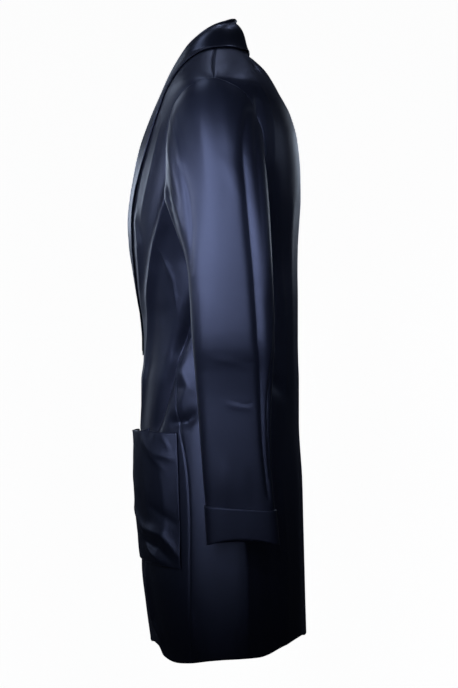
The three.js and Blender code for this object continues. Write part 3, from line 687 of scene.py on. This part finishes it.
def sleeve(side):
    spots, normals, into = armhole_loop(side)
    count = len(spots)
    turn = 2 * np.pi * np.arange(count) / count
    low = ((1 - np.cos(turn)) / 2)[:, None]
    lean = np.radians(8 + 76 * low**0.8)
    leave = into * np.cos(lean) + normals * np.sin(lean)
    leave[:, 1] *= ease(np.abs(np.sin(turn)) / 0.9)
    leave = unit(smooth_ring(leave))
    start = spots + leave * (SEAM + 0.1)
    end = arm_point(turn, np.full(count, float(ARM_TOP)))
    reach = np.linalg.norm(end - start, axis=-1, keepdims=True)
    t0 = leave * reach * (0.75 + 0.15 * low)
    t1 = (arm_point(turn, np.full(count, ARM_TOP - 1.0)) - end) * reach * (1.1 - 0.5 * low)
    s = (np.linspace(0, 1, CAP_ROWS + 1) ** 1.25)[:, None, None]
    cap = hermite(s, start, end, t0, t1)
    z = np.linspace(ARM_TOP, CUFF["top"] - CUFF["lap"], ARM_ROWS + 1)[1:, None]
    bare = np.concatenate([cap, arm_point(turn[None], z)])
    degrees = np.degrees(np.where(turn > np.pi, turn - 2 * np.pi, turn))[None]
    rise = all_folds(f"sleeve_{side}", degrees, bare[..., 2], ARM_PER_DEGREE)
    settle = ease(np.arange(len(bare)) / (0.12 * CAP_ROWS))[:, None]
    from_seam = np.linalg.norm(bare - bare[:1], axis=-1)
    rise = rise * settle - 0.5 * np.exp(-((from_seam / 2.8) ** 2)) * (from_seam > 0)
    outer = bare + grid_normals(bare, True) * rise[..., None]
    inner = outer - grid_normals(outer, True) * CLOTH
    length = np.concatenate([[0], np.cumsum(np.linalg.norm(np.diff(bare[:, 0], axis=0), axis=-1))])
    uv = np.stack(np.broadcast_arrays(np.abs(degrees) * ARM_PER_DEGREE * 1.3, -length[:, None]), -1)
    shell(f"sleeve_{side}_silk", outer, inner, uv, ring=True)


def cuff_point(turn, share, out=0.0):
    top = CUFF["top"] + CUFF["slant"] * np.sin(turn)
    bottom = CUFF["bottom"] + CUFF["arch"] * np.maximum(np.cos(turn), 0) ** 2
    return arm_point(turn, top + (bottom - top) * share, CUFF["out"] + out)


def cuff(side):
    turn = 2 * np.pi * np.arange(CUFF_RING) / CUFF_RING
    share = np.linspace(0, 1, CUFF_ROWS + 1)[:, None]
    outer = cuff_point(turn[None], share)
    inner = outer - grid_normals(outer, True) * CLOTH
    uv = np.stack(np.broadcast_arrays(turn[None] * 52, -50 * share), -1)
    shell(f"cuff_{side}_silk", outer, inner, uv, ring=True, lips=("first", "last"))


for side in ("left", "right"):
    sleeve(side)
    cuff(side)

# %% [markdown]
# ## Shawl collar
#
# The collar is one folded band on each side. It stands up round the neck, rolls over, and falls
# outside as the lapel, which narrows to the wrap. The panels' edges lie between its two layers.

# %% Collar
def collar(side):
    s = np.linspace(0, 18, round(190 * FINE) + 1)
    roll = np.stack([COLLAR[k](s) for k in ("rx", "ry", "rz")], -1)
    edge = np.stack([COLLAR[k](s) for k in ("ex", "ey", "ez")], -1)
    leg = edge - roll
    along = unit(np.gradient(roll, axis=0))
    along[0] = (1, 0, 0)
    out = unit(np.cross(along, leg))
    away = roll * np.array([1, 1, 0]) + np.array([0, -5, 0])
    out *= np.sign(np.sum(out * away, axis=-1, keepdims=True))
    across = unit(np.cross(out, along))
    across *= np.sign(np.sum(across * leg, axis=-1, keepdims=True))
    neck = ease((9 - s) / 7)[:, None]
    layers = []
    steps = round(26 * max(FINE, 0.5))
    for j in range(steps):
        t = j / steps
        bow = 6 * math.sin(math.pi * t**1.5) * neck
        layers.append(keep_clear(edge - leg * t * 0.96 + out * bow, COLLAR_OUT))
    plump = (0.8 + 1.8 * ease((6 - s) / 5) + 3 * ease((3 - s) / 2))[:, None]
    for step, rise in ((2.4, 1.0), (1.0, 0.55)):
        layers.append(keep_clear(roll + across * step + out * plump * rise, COLLAR_OUT))
    layers.append(roll - out * 0.4)
    layers.append(roll + across * 0.5 - out * 1.8)
    stand = (1 - ease((s - 5.6) / 1.2))[:, None]
    foot = np.stack([STAND_FOOT[k](s) for k in ("x", "y", "z")], -1)
    turn = roll + across * 2.6
    tucked = keep_clear(turn - out * 6, COLLAR_IN) * (1 - stand) + (turn - out * 3.4) * stand
    deep = roll + across * COLLAR["inner"](s)[:, None] - out * 4
    seat = keep_clear(deep, COLLAR_IN) * (1 - stand) + foot * stand
    for t in np.linspace(0, 1, round(12 * max(FINE, 0.5))):
        layers.append(tucked * (1 - t) + seat * t)
    rows = np.stack(layers, 1)
    ways = grid_normals(rows, False)
    outer, inner = rows + ways * CLOTH / 2, rows - ways * CLOTH / 2
    outer[0, :, 0] = inner[0, :, 0] = SEAM
    if side == "right":
        outer, inner = sink_under(outer), sink_under(inner)
    width = np.cumsum(np.linalg.norm(np.diff(rows, axis=1, prepend=rows[:, :1]), axis=-1), axis=1)
    length = np.concatenate([[0], np.cumsum(np.linalg.norm(np.diff(roll, axis=0), axis=-1))])
    uv = np.stack(np.broadcast_arrays(width, -length[:, None]), -1)
    shell(f"collar_{side}_silk", outer, inner, uv, lips=("last", "start", "end"))
    return (outer[:, 0] + inner[:, 0]) / 2


def sink_under(points):
    z = np.minimum(points[..., 2], NECK_Z)
    angle = angle_at_x(points[..., 0], z, False)
    sink = np.where(points[..., 1] < 0, under(angle, z), 0.0)
    return points - body_normal(angle, z) * sink[..., None]


collar_edge = {side: collar(side) for side in ("left", "right")}

# %% [markdown]
# ## Patch pockets
#
# Each pocket lies on its front panel, belled out by its own fullness, and its mouth hangs open a
# little towards the front.

# %% Pockets
def pocket_point(side, u, v):
    """Point of the pocket's outer face and the way out of it, across (u) and down (v)."""
    z = POCKET["top"] + (POCKET["bottom"] - POCKET["top"]) * v
    (a0, a1), (b0, b1) = POCKET["top_angles"], POCKET["bottom_angles"]
    angle = np.radians((a0 + (b0 - a0) * v) * (1 - u) + (a1 + (b1 - a1) * v) * u)
    dome = np.sin(np.pi * u) ** (0.5 + 0.8 * ease((u - 0.4) / 0.6))
    bag = POCKET["bag"] * dome * np.sin(np.pi * (0.15 + 0.85 * v)) ** 0.38
    mouth = POCKET["mouth"] * np.sin(np.pi * u**0.7) * (1 - v) ** 2.5
    lift = POCKET["lift"] + bag + mouth
    lift = lift + fold_rise(POCKET_FOLDS, u * POCKET_WIDE, -v * POCKET_LONG, 1, sharp=1.5)
    return on_cloth(side, angle, z, lift)


def pocket(side):
    u = np.clip(np.linspace(0, 1, round(64 * FINE) + 1)[None], 1e-6, 1 - 1e-6)
    v = np.clip(np.linspace(0, 1, round(76 * FINE) + 1)[:, None], 1e-6, 1 - 1e-6)
    u, v = np.broadcast_arrays(u, v)
    near, way = pocket_point(side, u, v)
    uv = np.stack([u * POCKET_WIDE, -v * POCKET_LONG], -1)
    inner = near + way * POCKET["gap"]
    all_round = ("first", "last", "start", "end")
    shell(f"pocket_{side}_silk", inner + way * CLOTH, inner, uv, lips=all_round)


for side in ("left", "right"):
    pocket(side)

# %% [markdown]
# ## Silk satin
#
# Satin floats its warp threads over many wefts, so it is smooth and mirrors light in soft bands,
# with faint lines down the warp. A flat colour with a low roughness would look like rubber. Two
# groups, shared by all the cloth, keep it alive: one draws the warp from the cloth's own
# coordinates, and one makes the slow changes of tone and the tiny rumples of worn silk.

# %% Shader groups
SORTS = {float: "Float", int: "Int"}


def feed(tree, node, inputs):
    """Wires each named input to another node's output, or sets it to a value."""
    for key, value in inputs.items():
        if isinstance(value, bpy.types.NodeSocket):
            tree.links.new(value, node.inputs[key])
        else:
            node.inputs[key].default_value = value


def add(tree, kind, inputs=(), **options):
    """A new node with its options and inputs; returns its outputs."""
    node = tree.nodes.new(kind)
    for option, value in options.items():
        setattr(node, option, value)
    feed(tree, node, dict(inputs))
    return node.outputs


def compute(tree, operation, *terms):
    return add(tree, "ShaderNodeMath", dict(enumerate(terms)), operation=operation)[0]


def new_group(name, kind, inputs, outputs, sort):
    """A node group with named sockets. An input's value is its default, or the sort it is of."""
    tree = bpy.data.node_groups.new(name, kind)
    for label, value in inputs.items():
        own = SORTS.get(type(value), value)
        socket = tree.interface.new_socket(
            name=label, in_out="INPUT", socket_type=f"NodeSocket{own}"
        )
        if own != value:
            socket.default_value = value
    for label in outputs:
        tree.interface.new_socket(name=label, in_out="OUTPUT", socket_type=f"NodeSocket{sort}")
    return tree, tree.nodes.new("NodeGroupInput").outputs, tree.nodes.new("NodeGroupOutput")


def warp_group():
    """Lines down the warp and the tiny ribs of the weave, in threads a metre."""
    sizes = {"Across": 1500.0, "Along": 22.0, "Ribs": 2600.0}
    tree, entry, leave = new_group(
        "silk_warp", "ShaderNodeTree", sizes, ["Streak", "Weave"], "Float"
    )
    uv = add(tree, "ShaderNodeUVMap", uv_map="cloth")["UV"]
    split = add(tree, "ShaderNodeSeparateXYZ", {0: uv})
    x, y = split["X"], split["Y"]
    across = compute(tree, "MULTIPLY", x, entry["Across"])
    along = compute(tree, "MULTIPLY", y, entry["Along"])
    place = add(tree, "ShaderNodeCombineXYZ", {0: across, 1: along})[0]
    noise = add(tree, "ShaderNodeTexNoise", {"Scale": 1.0, "Detail": 3.0, "Vector": place})
    slant = compute(tree, "ADD", x, compute(tree, "MULTIPLY", y, 0.35))
    rib = compute(tree, "SINE", compute(tree, "MULTIPLY", slant, entry["Ribs"]))
    weave = compute(tree, "MULTIPLY", rib, 0.5)
    feed(tree, leave, {"Streak": noise["Fac"], "Weave": weave})
    return tree


def rumple_group():
    """Slow changes of tone, and a height for the small rumples of worn silk."""
    sizes = {"Broad": 9.0, "Small": 34.0}
    tree, entry, leave = new_group(
        "silk_rumple", "ShaderNodeTree", sizes, ["Tone", "Height"], "Float"
    )
    place = add(tree, "ShaderNodeTexCoord")["Object"]
    place = add(tree, "ShaderNodeMapping", {"Scale": (1.0, 1.0, 0.45), "Vector": place})["Vector"]
    broad = {"Detail": 2.0, "Scale": entry["Broad"], "Vector": place}
    fine = {"Detail": 4.0, "Scale": entry["Small"], "Vector": place}
    tone, small = [add(tree, "ShaderNodeTexNoise", layer)["Fac"] for layer in (broad, fine)]
    height = compute(tree, "ADD", tone, compute(tree, "MULTIPLY", small, 0.35))
    feed(tree, leave, {"Tone": tone, "Height": height})
    return tree


WARP, RUMPLE = warp_group(), rumple_group()
print("shader groups:", WARP.name, RUMPLE.name)

# %% [markdown]
# The silk itself is a dark navy that is a little lighter where its warp lies high. Almost all that
# is seen of it is reflection, which satin tints blue, so the tint, the index and the sheen are the
# shader's own constants, and only colour, roughness and normal change over the surface.

# %% Silk and thread
SATIN = {
    "IOR": 1.55,
    "Specular IOR Level": 0.9,
    "Specular Tint": (0.5, 0.58, 1, 1),
    "Sheen Weight": 0.08,
    "Sheen Roughness": 0.35,
    "Sheen Tint": (0.45, 0.5, 0.75, 1),
}


def new_material(name):
    material = bpy.data.materials.new(name)
    material.use_nodes = True
    return material, material.node_tree, material.node_tree.nodes["Principled BSDF"]


def cloth_material(name, dark, light, roughness, rumple, weave):
    material, tree, shader = new_material(name)
    warp = add(tree, "ShaderNodeGroup", node_tree=WARP)
    worn = add(tree, "ShaderNodeGroup", node_tree=RUMPLE)
    tone = compute(tree, "ADD", warp["Streak"], worn["Tone"])
    tone = compute(tree, "MULTIPLY", tone, 0.5)
    ends = {"A": (*dark, 1), "B": (*light, 1), "Factor": tone}
    color = add(tree, "ShaderNodeMix", ends, data_type="RGBA")["Result"]
    spread = {"From Min": 0.3, "From Max": 0.7, "To Min": roughness[0], "To Max": roughness[1]}
    rough = add(tree, "ShaderNodeMapRange", {**spread, "Value": tone})["Result"]
    below = {}
    for height, strength, distance in (
        (worn["Height"], rumple, 0.002),
        (warp["Streak"], 0.3, 0.0002),
        (warp["Weave"], weave, 0.00006),
    ):
        bump = {"Strength": strength, "Distance": distance, "Height": height, **below}
        below = {"Normal": add(tree, "ShaderNodeBump", bump)["Normal"]}
    feed(tree, shader, {"Base Color": color, "Roughness": rough, **below, **SATIN})
    return material


SILK = cloth_material(
    "navy_satin", (0.008, 0.01, 0.02), (0.013, 0.016, 0.034), (0.33, 0.41), 0.3, 0.25
)
FACING = cloth_material(
    "navy_satin_collar", (0.008, 0.01, 0.019), (0.013, 0.016, 0.032), (0.31, 0.39), 0.22, 0.25
)
THREAD = cloth_material(
    "navy_thread", (0.02, 0.026, 0.055), (0.03, 0.038, 0.08), (0.5, 0.62), 0.1, 0.4
)
for name, piece in made.items():
    piece.data.materials.append(FACING if name.startswith("collar") else SILK)
print("materials:", [m.name for m in bpy.data.materials])

# %% [markdown]
# ## Stitches and rolled edges
#
# Topstitching shows as small raised threads round the pockets, blind stitches as dots along the
# hem, and a band that is turned over shows as a thin rolled edge. Stitches could be modelled one
# by one, but each follows a line on the cloth, so two Geometry Nodes trees make them: one sets a
# bead of thread at even steps along a line, and one sweeps a round section along it.

# %% Lines on the cloth
MIRROR = {"left": np.array([1, 1, 1]), "right": np.array([-1, 1, 1])}


def pocket_line(side, u, v, out):
    near, way = pocket_point(side, np.asarray(u, float), np.asarray(v, float))
    return (near + way * out) * MIRROR[side]


def pocket_seam(side, inset=2.6):
    """Down the front edge, along the bottom and up the side edge of a pocket."""
    across, down = inset / POCKET_WIDE, inset / POCKET_LONG
    fall, run = np.linspace(0.03, 1 - down, 80), np.linspace(across, 1 - across, 60)
    u = np.concatenate([np.full(80, across), run[1:-1], np.full(80, 1 - across)])
    v = np.concatenate([fall, np.full(58, 1 - down), fall[::-1]])
    return pocket_line(side, u, v, CLOTH + POCKET["gap"] + 0.05)


def hem_line(side, back):
    """The line of blind stitches above a panel's hem."""
    z = HEM + 25.0
    seam = np.degrees(angle_at_y(SIDE["y"](z), z))
    front = np.degrees(angle_at_x(FRONT_EDGE["x"](z), z, False))
    degrees = np.linspace(*((seam + 1, 180) if back else (front + 1, seam - 1)), 90)
    height = z + HEM_LINE["lift"](degrees) * 0.9
    return on_cloth(side, np.radians(degrees), height, 0.05)[0] * MIRROR[side]


def side_seam_line(side):
    """Down the side seam, in the middle of the cloth's thickness."""
    down = np.linspace(0.004, 0.996, 150)
    low_z = ARMPIT + (HEM - ARMPIT) * down
    angle = angle_at_y(SIDE["y"](low_z), low_z)
    z = low_z + HEM_LINE["lift"](np.degrees(angle)) * down**2
    return on_cloth(side, angle, z, -0.6 * CLOTH)[0] * MIRROR[side]


def cuff_line(side, share, out):
    return cuff_point(np.radians(np.arange(0, 360, 3)), share, out) * MIRROR[side]


print("pocket seam:", len(pocket_seam("left")), "points")

# %% [markdown]
# Both trees take a line of loose edges, sizes, a seed and a material. Each turns the line into a
# curve first, and smooths, realizes and paints what it has made last.

# %% Trees of nodes
def line_tree(name, sizes):
    """A Geometry Nodes tree that takes a line, some sizes and a material."""
    inputs = {"Line": "Geometry", **sizes, "Seed": 7, "Material": "Material"}
    tree, entry, leave = new_group(name, "GeometryNodeTree", inputs, ["Geometry"], "Geometry")
    line = add(tree, "GeometryNodeMeshToCurve", {"Mesh": entry["Line"]})["Curve"]
    return tree, entry, leave, line


def close_tree(tree, entry, leave, shape):
    smooth = add(tree, "GeometryNodeSetShadeSmooth", {0: shape})[0]
    real = add(tree, "GeometryNodeRealizeInstances", {0: smooth})[0]
    painted = {"Geometry": real, "Material": entry["Material"]}
    feed(tree, leave, {0: add(tree, "GeometryNodeSetMaterial", painted)[0]})
    return tree


def stitch_tree():
    """A bead of thread at even steps along the line, each a little unlike the last."""
    sizes = {"Spacing": 0.0026, "Length": 0.0018, "Thickness": 0.00045}
    tree, entry, leave, line = line_tree("stitch_row", sizes)
    along = {"Curve": line, "Length": entry["Spacing"]}
    steps = add(tree, "GeometryNodeResampleCurve", along, mode="LENGTH")["Curve"]
    round_bead = {"Segments": 6, "Rings": 4, "Radius": 0.5}
    bead = add(tree, "GeometryNodeMeshUVSphere", round_bead)["Mesh"]
    tangent = {"Vector": add(tree, "GeometryNodeInputTangent")[0]}
    turn = add(tree, "FunctionNodeAlignRotationToVector", tangent, axis="Z")["Rotation"]
    measures = ("Thickness", "Thickness", "Length")
    measures = {i: entry[label] for i, label in enumerate(measures)}
    size = add(tree, "ShaderNodeCombineXYZ", measures)[0]
    range_of = {"Min": 0.85, "Max": 1.12, "Seed": entry["Seed"]}
    vary = add(tree, "FunctionNodeRandomValue", range_of, data_type="FLOAT")["Value"]
    scale = add(tree, "ShaderNodeVectorMath", {0: size, "Scale": vary}, operation="SCALE")[0]
    place = {"Points": steps, "Instance": bead, "Rotation": turn, "Scale": scale}
    beads = add(tree, "GeometryNodeInstanceOnPoints", place)["Instances"]
    return close_tree(tree, entry, leave, beads)


def roll_tree():
    """A round section swept along the line."""
    tree, entry, leave, line = line_tree("rolled_edge", {"Radius": 0.0009})
    ring = {"Resolution": 8, "Radius": entry["Radius"]}
    section = add(tree, "GeometryNodeCurvePrimitiveCircle", ring)["Curve"]
    swept = {"Fill Caps": True, "Curve": line, "Profile Curve": section}
    return close_tree(tree, entry, leave, add(tree, "GeometryNodeCurveToMesh", swept)["Mesh"])


STITCHES, ROLL = stitch_tree(), roll_tree()
print("trees:", STITCHES.name, ROLL.name)

# %% [markdown]
# Each line is sewn in turn. The tree runs once and only its plain mesh is kept. The mesh gets the
# same kind of coordinates as the cloth, so the weave runs over it too. Its sizes are in metres.

# %% Sew
trims = {}


def sew(sheet, name, chain, tree, closed=False, **values):
    """Runs a tree on a chain of points, keeps the mesh, and notes the sheet it is sewn to."""
    mesh = bpy.data.meshes.new(name)
    edges = [(i, i + 1) for i in range(len(chain) - 1)]
    edges += [(len(chain) - 1, 0)] if closed else []
    mesh.from_pydata((chain / 1000).tolist(), edges, [])
    line = add_object(name, mesh)
    values = {"Material": THREAD if tree is STITCHES else SILK, **values}
    maker = line.modifiers.new(tree.name, "NODES")
    maker.node_group = tree
    for item in tree.interface.items_tree:
        if item.in_out == "INPUT" and item.name in values:
            maker[item.identifier] = values[item.name]
    graph = bpy.context.evaluated_depsgraph_get()
    mesh = bpy.data.meshes.new_from_object(line.evaluated_get(graph))
    line.modifiers.clear()
    line.data = mesh
    layer = mesh.uv_layers.new(name="cloth")
    for corner in mesh.loops:
        x, y, z = mesh.vertices[corner.vertex_index].co
        layer.data[corner.index].uv = (x + y, z)
    trims.setdefault(sheet, []).append(line)
    print(f"{name}: {len(mesh.polygons)} faces")


BLIND = {"Spacing": 0.007, "Length": 0.0013}
for number, side in enumerate(("left", "right")):
    front, pocket_node, cuff_node, collar_node = [
        f"{part}_{side}" for part in ("front", "pocket", "cuff", "collar")
    ]
    seam = pocket_seam(side)
    sew(pocket_node, f"{pocket_node}_topstitch", seam, STITCHES, Seed=11 + number)
    across, middle = np.linspace(0.004, 0.996, 90), POCKET["gap"] + CLOTH / 2
    mouth = pocket_line(side, across, np.zeros(90), middle)
    sew(pocket_node, f"{pocket_node}_mouth_edge", mouth, ROLL)
    top, row = cuff_line(side, 0, -0.5), cuff_line(side, 0.93, 0.05)
    sew(cuff_node, f"{cuff_node}_top_edge", top, ROLL, closed=True, Radius=0.0008)
    spaced = {"Seed": 21 + number, "Spacing": 0.005}
    sew(cuff_node, f"{cuff_node}_stitches", row, STITCHES, closed=True, **spaced)
    edge = collar_edge[side] * MIRROR[side]
    sew(collar_node, f"{collar_node}_edge", edge, ROLL, Material=FACING, Radius=0.00095)
    hem = hem_line(side, False)
    sew(front, f"{front}_hem_stitches", hem, STITCHES, Seed=31 + number, **BLIND)
    sew(front, f"{front}_side_seam", side_seam_line(side), ROLL, Radius=0.00045)
    hem = hem_line(side, True)
    sew("back", f"back_hem_stitches_{side}", hem, STITCHES, Seed=41 + number, **BLIND)

# %% [markdown]
# ## Each piece on the body
#
# Every shell rides on the robe's one body and takes the place of its solid. What is sewn on it
# rides on the body too.

CUTS = {
    "back": (0.675, 0.922, 0.484),
    "front_left": (0.277, 0.940, 0.188),
    "front_right": (0.277, 0.940, 0.186),
    "sleeve_left": (0.335, 0.612, 0.156),
    "sleeve_right": (0.335, 0.612, 0.156),
    "cuff_left": (0.244, 0.051, 0.0118),
    "cuff_right": (0.244, 0.051, 0.0118),
    "collar_left": (0.119, 0.628, 0.0495),
    "collar_right": (0.119, 0.628, 0.0495),
    "pocket_left": (0.164, 0.192, 0.0307),
    "pocket_right": (0.164, 0.192, 0.0303),
}
for node, (width, length, area) in CUTS.items():
    piece = made[f"{node}_silk"]
    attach(piece, "root")
    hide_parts(node)
    sewn_on = trims.get(node, [])
    for trim in sewn_on:
        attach(trim, "root")
print("declared", len(CUTS), "pieces")

# %% [markdown]
# ## Studio
#
# Dark satin shows its light as reflections, so what the cloth mirrors matters more than how much
# light falls on it. Three rows of six narrow keys stand in an arc round the camera and are aimed
# at the upper sleeve, so its flat face is bright while the cuff and skirt stay dark. Weak, broad
# lamps in front and behind draw the lapel, the pockets and the rims, and a few small ones light
# the collar, the yoke and the sleeve's front edge. The pale floor and wall are kept out of the
# reflections, or they would grey the cloth.

# %% Floor and wall
def pale_surface():
    material, tree, shader = new_material("pale_floor")
    feed(tree, shader, {
        "Base Color": (0.8, 0.8, 0.8, 1),
        "Roughness": 0.9,
        "Emission Color": (1, 1, 1, 1),
        "Emission Strength": 0.97,
    })
    return material


def sweep():
    """A floor that curves up into a wall behind the robe."""
    bend, low, back = 0.8, -1.45, -2.3
    turns = [math.radians(90 * i / 12) for i in range(13)]
    profile = [(3.5, low)]
    profile += [(back - bend * math.sin(t), low + bend - bend * math.cos(t)) for t in turns]
    profile += [(back - bend, 3.5)]
    vertices = [(x, y, z) for x, z in profile for y in (-5.0, 5.0)]
    faces = [(2 * i, 2 * i + 1, 2 * i + 3, 2 * i + 2) for i in range(len(profile) - 1)]
    mesh = bpy.data.meshes.new("sweep")
    mesh.from_pydata(vertices, [], faces)
    mesh.polygons.foreach_set("use_smooth", [True] * len(faces))
    mesh.materials.append(pale_surface())
    floor = add_object("sweep", mesh)
    floor.visible_glossy = floor.visible_diffuse = False


sweep()

# %% [markdown]
# Each lamp is aimed at a point of the robe from an azimuth and an elevation round it. The lamps of
# an arc are alike but for their power, and fade is the share of it that the last azimuth has lost.

# %% Lights
SLEEVE, MIDDLE = Vector((0.27, 0, -0.28)), Vector((0.1, 0, -0.35))
CAP, YOKE, COLLAR_TOP = Vector((0.24, 0, -0.2)), Vector((0.08, 0, 0)), Vector((0.09, 0, 0))
WHITE, COOL, BLUE = (0.86, 0.91, 1), (0.74, 0.85, 1), (0.62, 0.72, 1)


def arc(name, azimuths, elevations, power, fade, target, size, spread, color, reach=2.0):
    """Rows of square lamps round a target. Azimuth 0 is the wearer's left, and 90 is behind."""
    for elevation in elevations:
        for step, azimuth in enumerate(azimuths):
            data = bpy.data.lights.new(f"{name}_{elevation}_{step}", "AREA")
            data.size, data.color, data.spread = size, color, math.radians(spread)
            data.energy = power * (1 - fade * step / max(len(azimuths) - 1, 1))
            turn, lift = math.radians(azimuth), math.radians(elevation)
            flat = math.cos(lift)
            away = Vector((flat * math.cos(turn), flat * math.sin(turn), math.sin(lift)))
            light = add_object(data.name, data)
            light.location = target + away * reach
            light.rotation_euler = (-away).to_track_quat("-Z", "Y").to_euler()
            light.visible_camera = False


def studio_world():
    """A dim room that the camera itself sees as pale."""
    world = bpy.data.worlds.new("studio")
    world.use_nodes = True
    tree = world.node_tree
    room = tree.nodes["Background"]
    feed(tree, room, {"Color": (0.8, 0.88, 1, 1), "Strength": 0.006})
    pale = add(tree, "ShaderNodeBackground", {"Color": (1, 1, 1, 1)})[0]
    seen = add(tree, "ShaderNodeLightPath")["Is Camera Ray"]
    mix = add(tree, "ShaderNodeMixShader", {"Fac": seen, 1: room.outputs[0], 2: pale})[0]
    feed(tree, tree.nodes["World Output"], {"Surface": mix})
    bpy.context.scene.world = world


studio_world()
arc("key", range(-45, 46, 18), (0, 15, 30), 0.1, 0.9, SLEEVE, 0.5, 22, WHITE)
arc("sleeve_edge", (-95, -70), (8,), 0.06, 0, CAP, 0.4, 15, WHITE)
arc("front", range(-145, -74, 35), (0, 30), 0.7, 0.7, MIDDLE, 0.4, 180, COOL)
arc("rear", range(80, 161, 40), (15,), 0.3, 0, MIDDLE, 0.4, 180, COOL)
arc("rim", (-150, 160), (10,), 2, 0.6, MIDDLE, 0.4, 180, COOL)
arc("yoke", (150, 180), (50,), 0.04, 0, YOKE, 0.3, 40, BLUE)
arc("collar", (-110,), (65,), 0.03, 0, COLLAR_TOP, 0.3, 40, COOL, reach=0.7)
bpy.context.scene.view_settings.view_transform = "Standard"
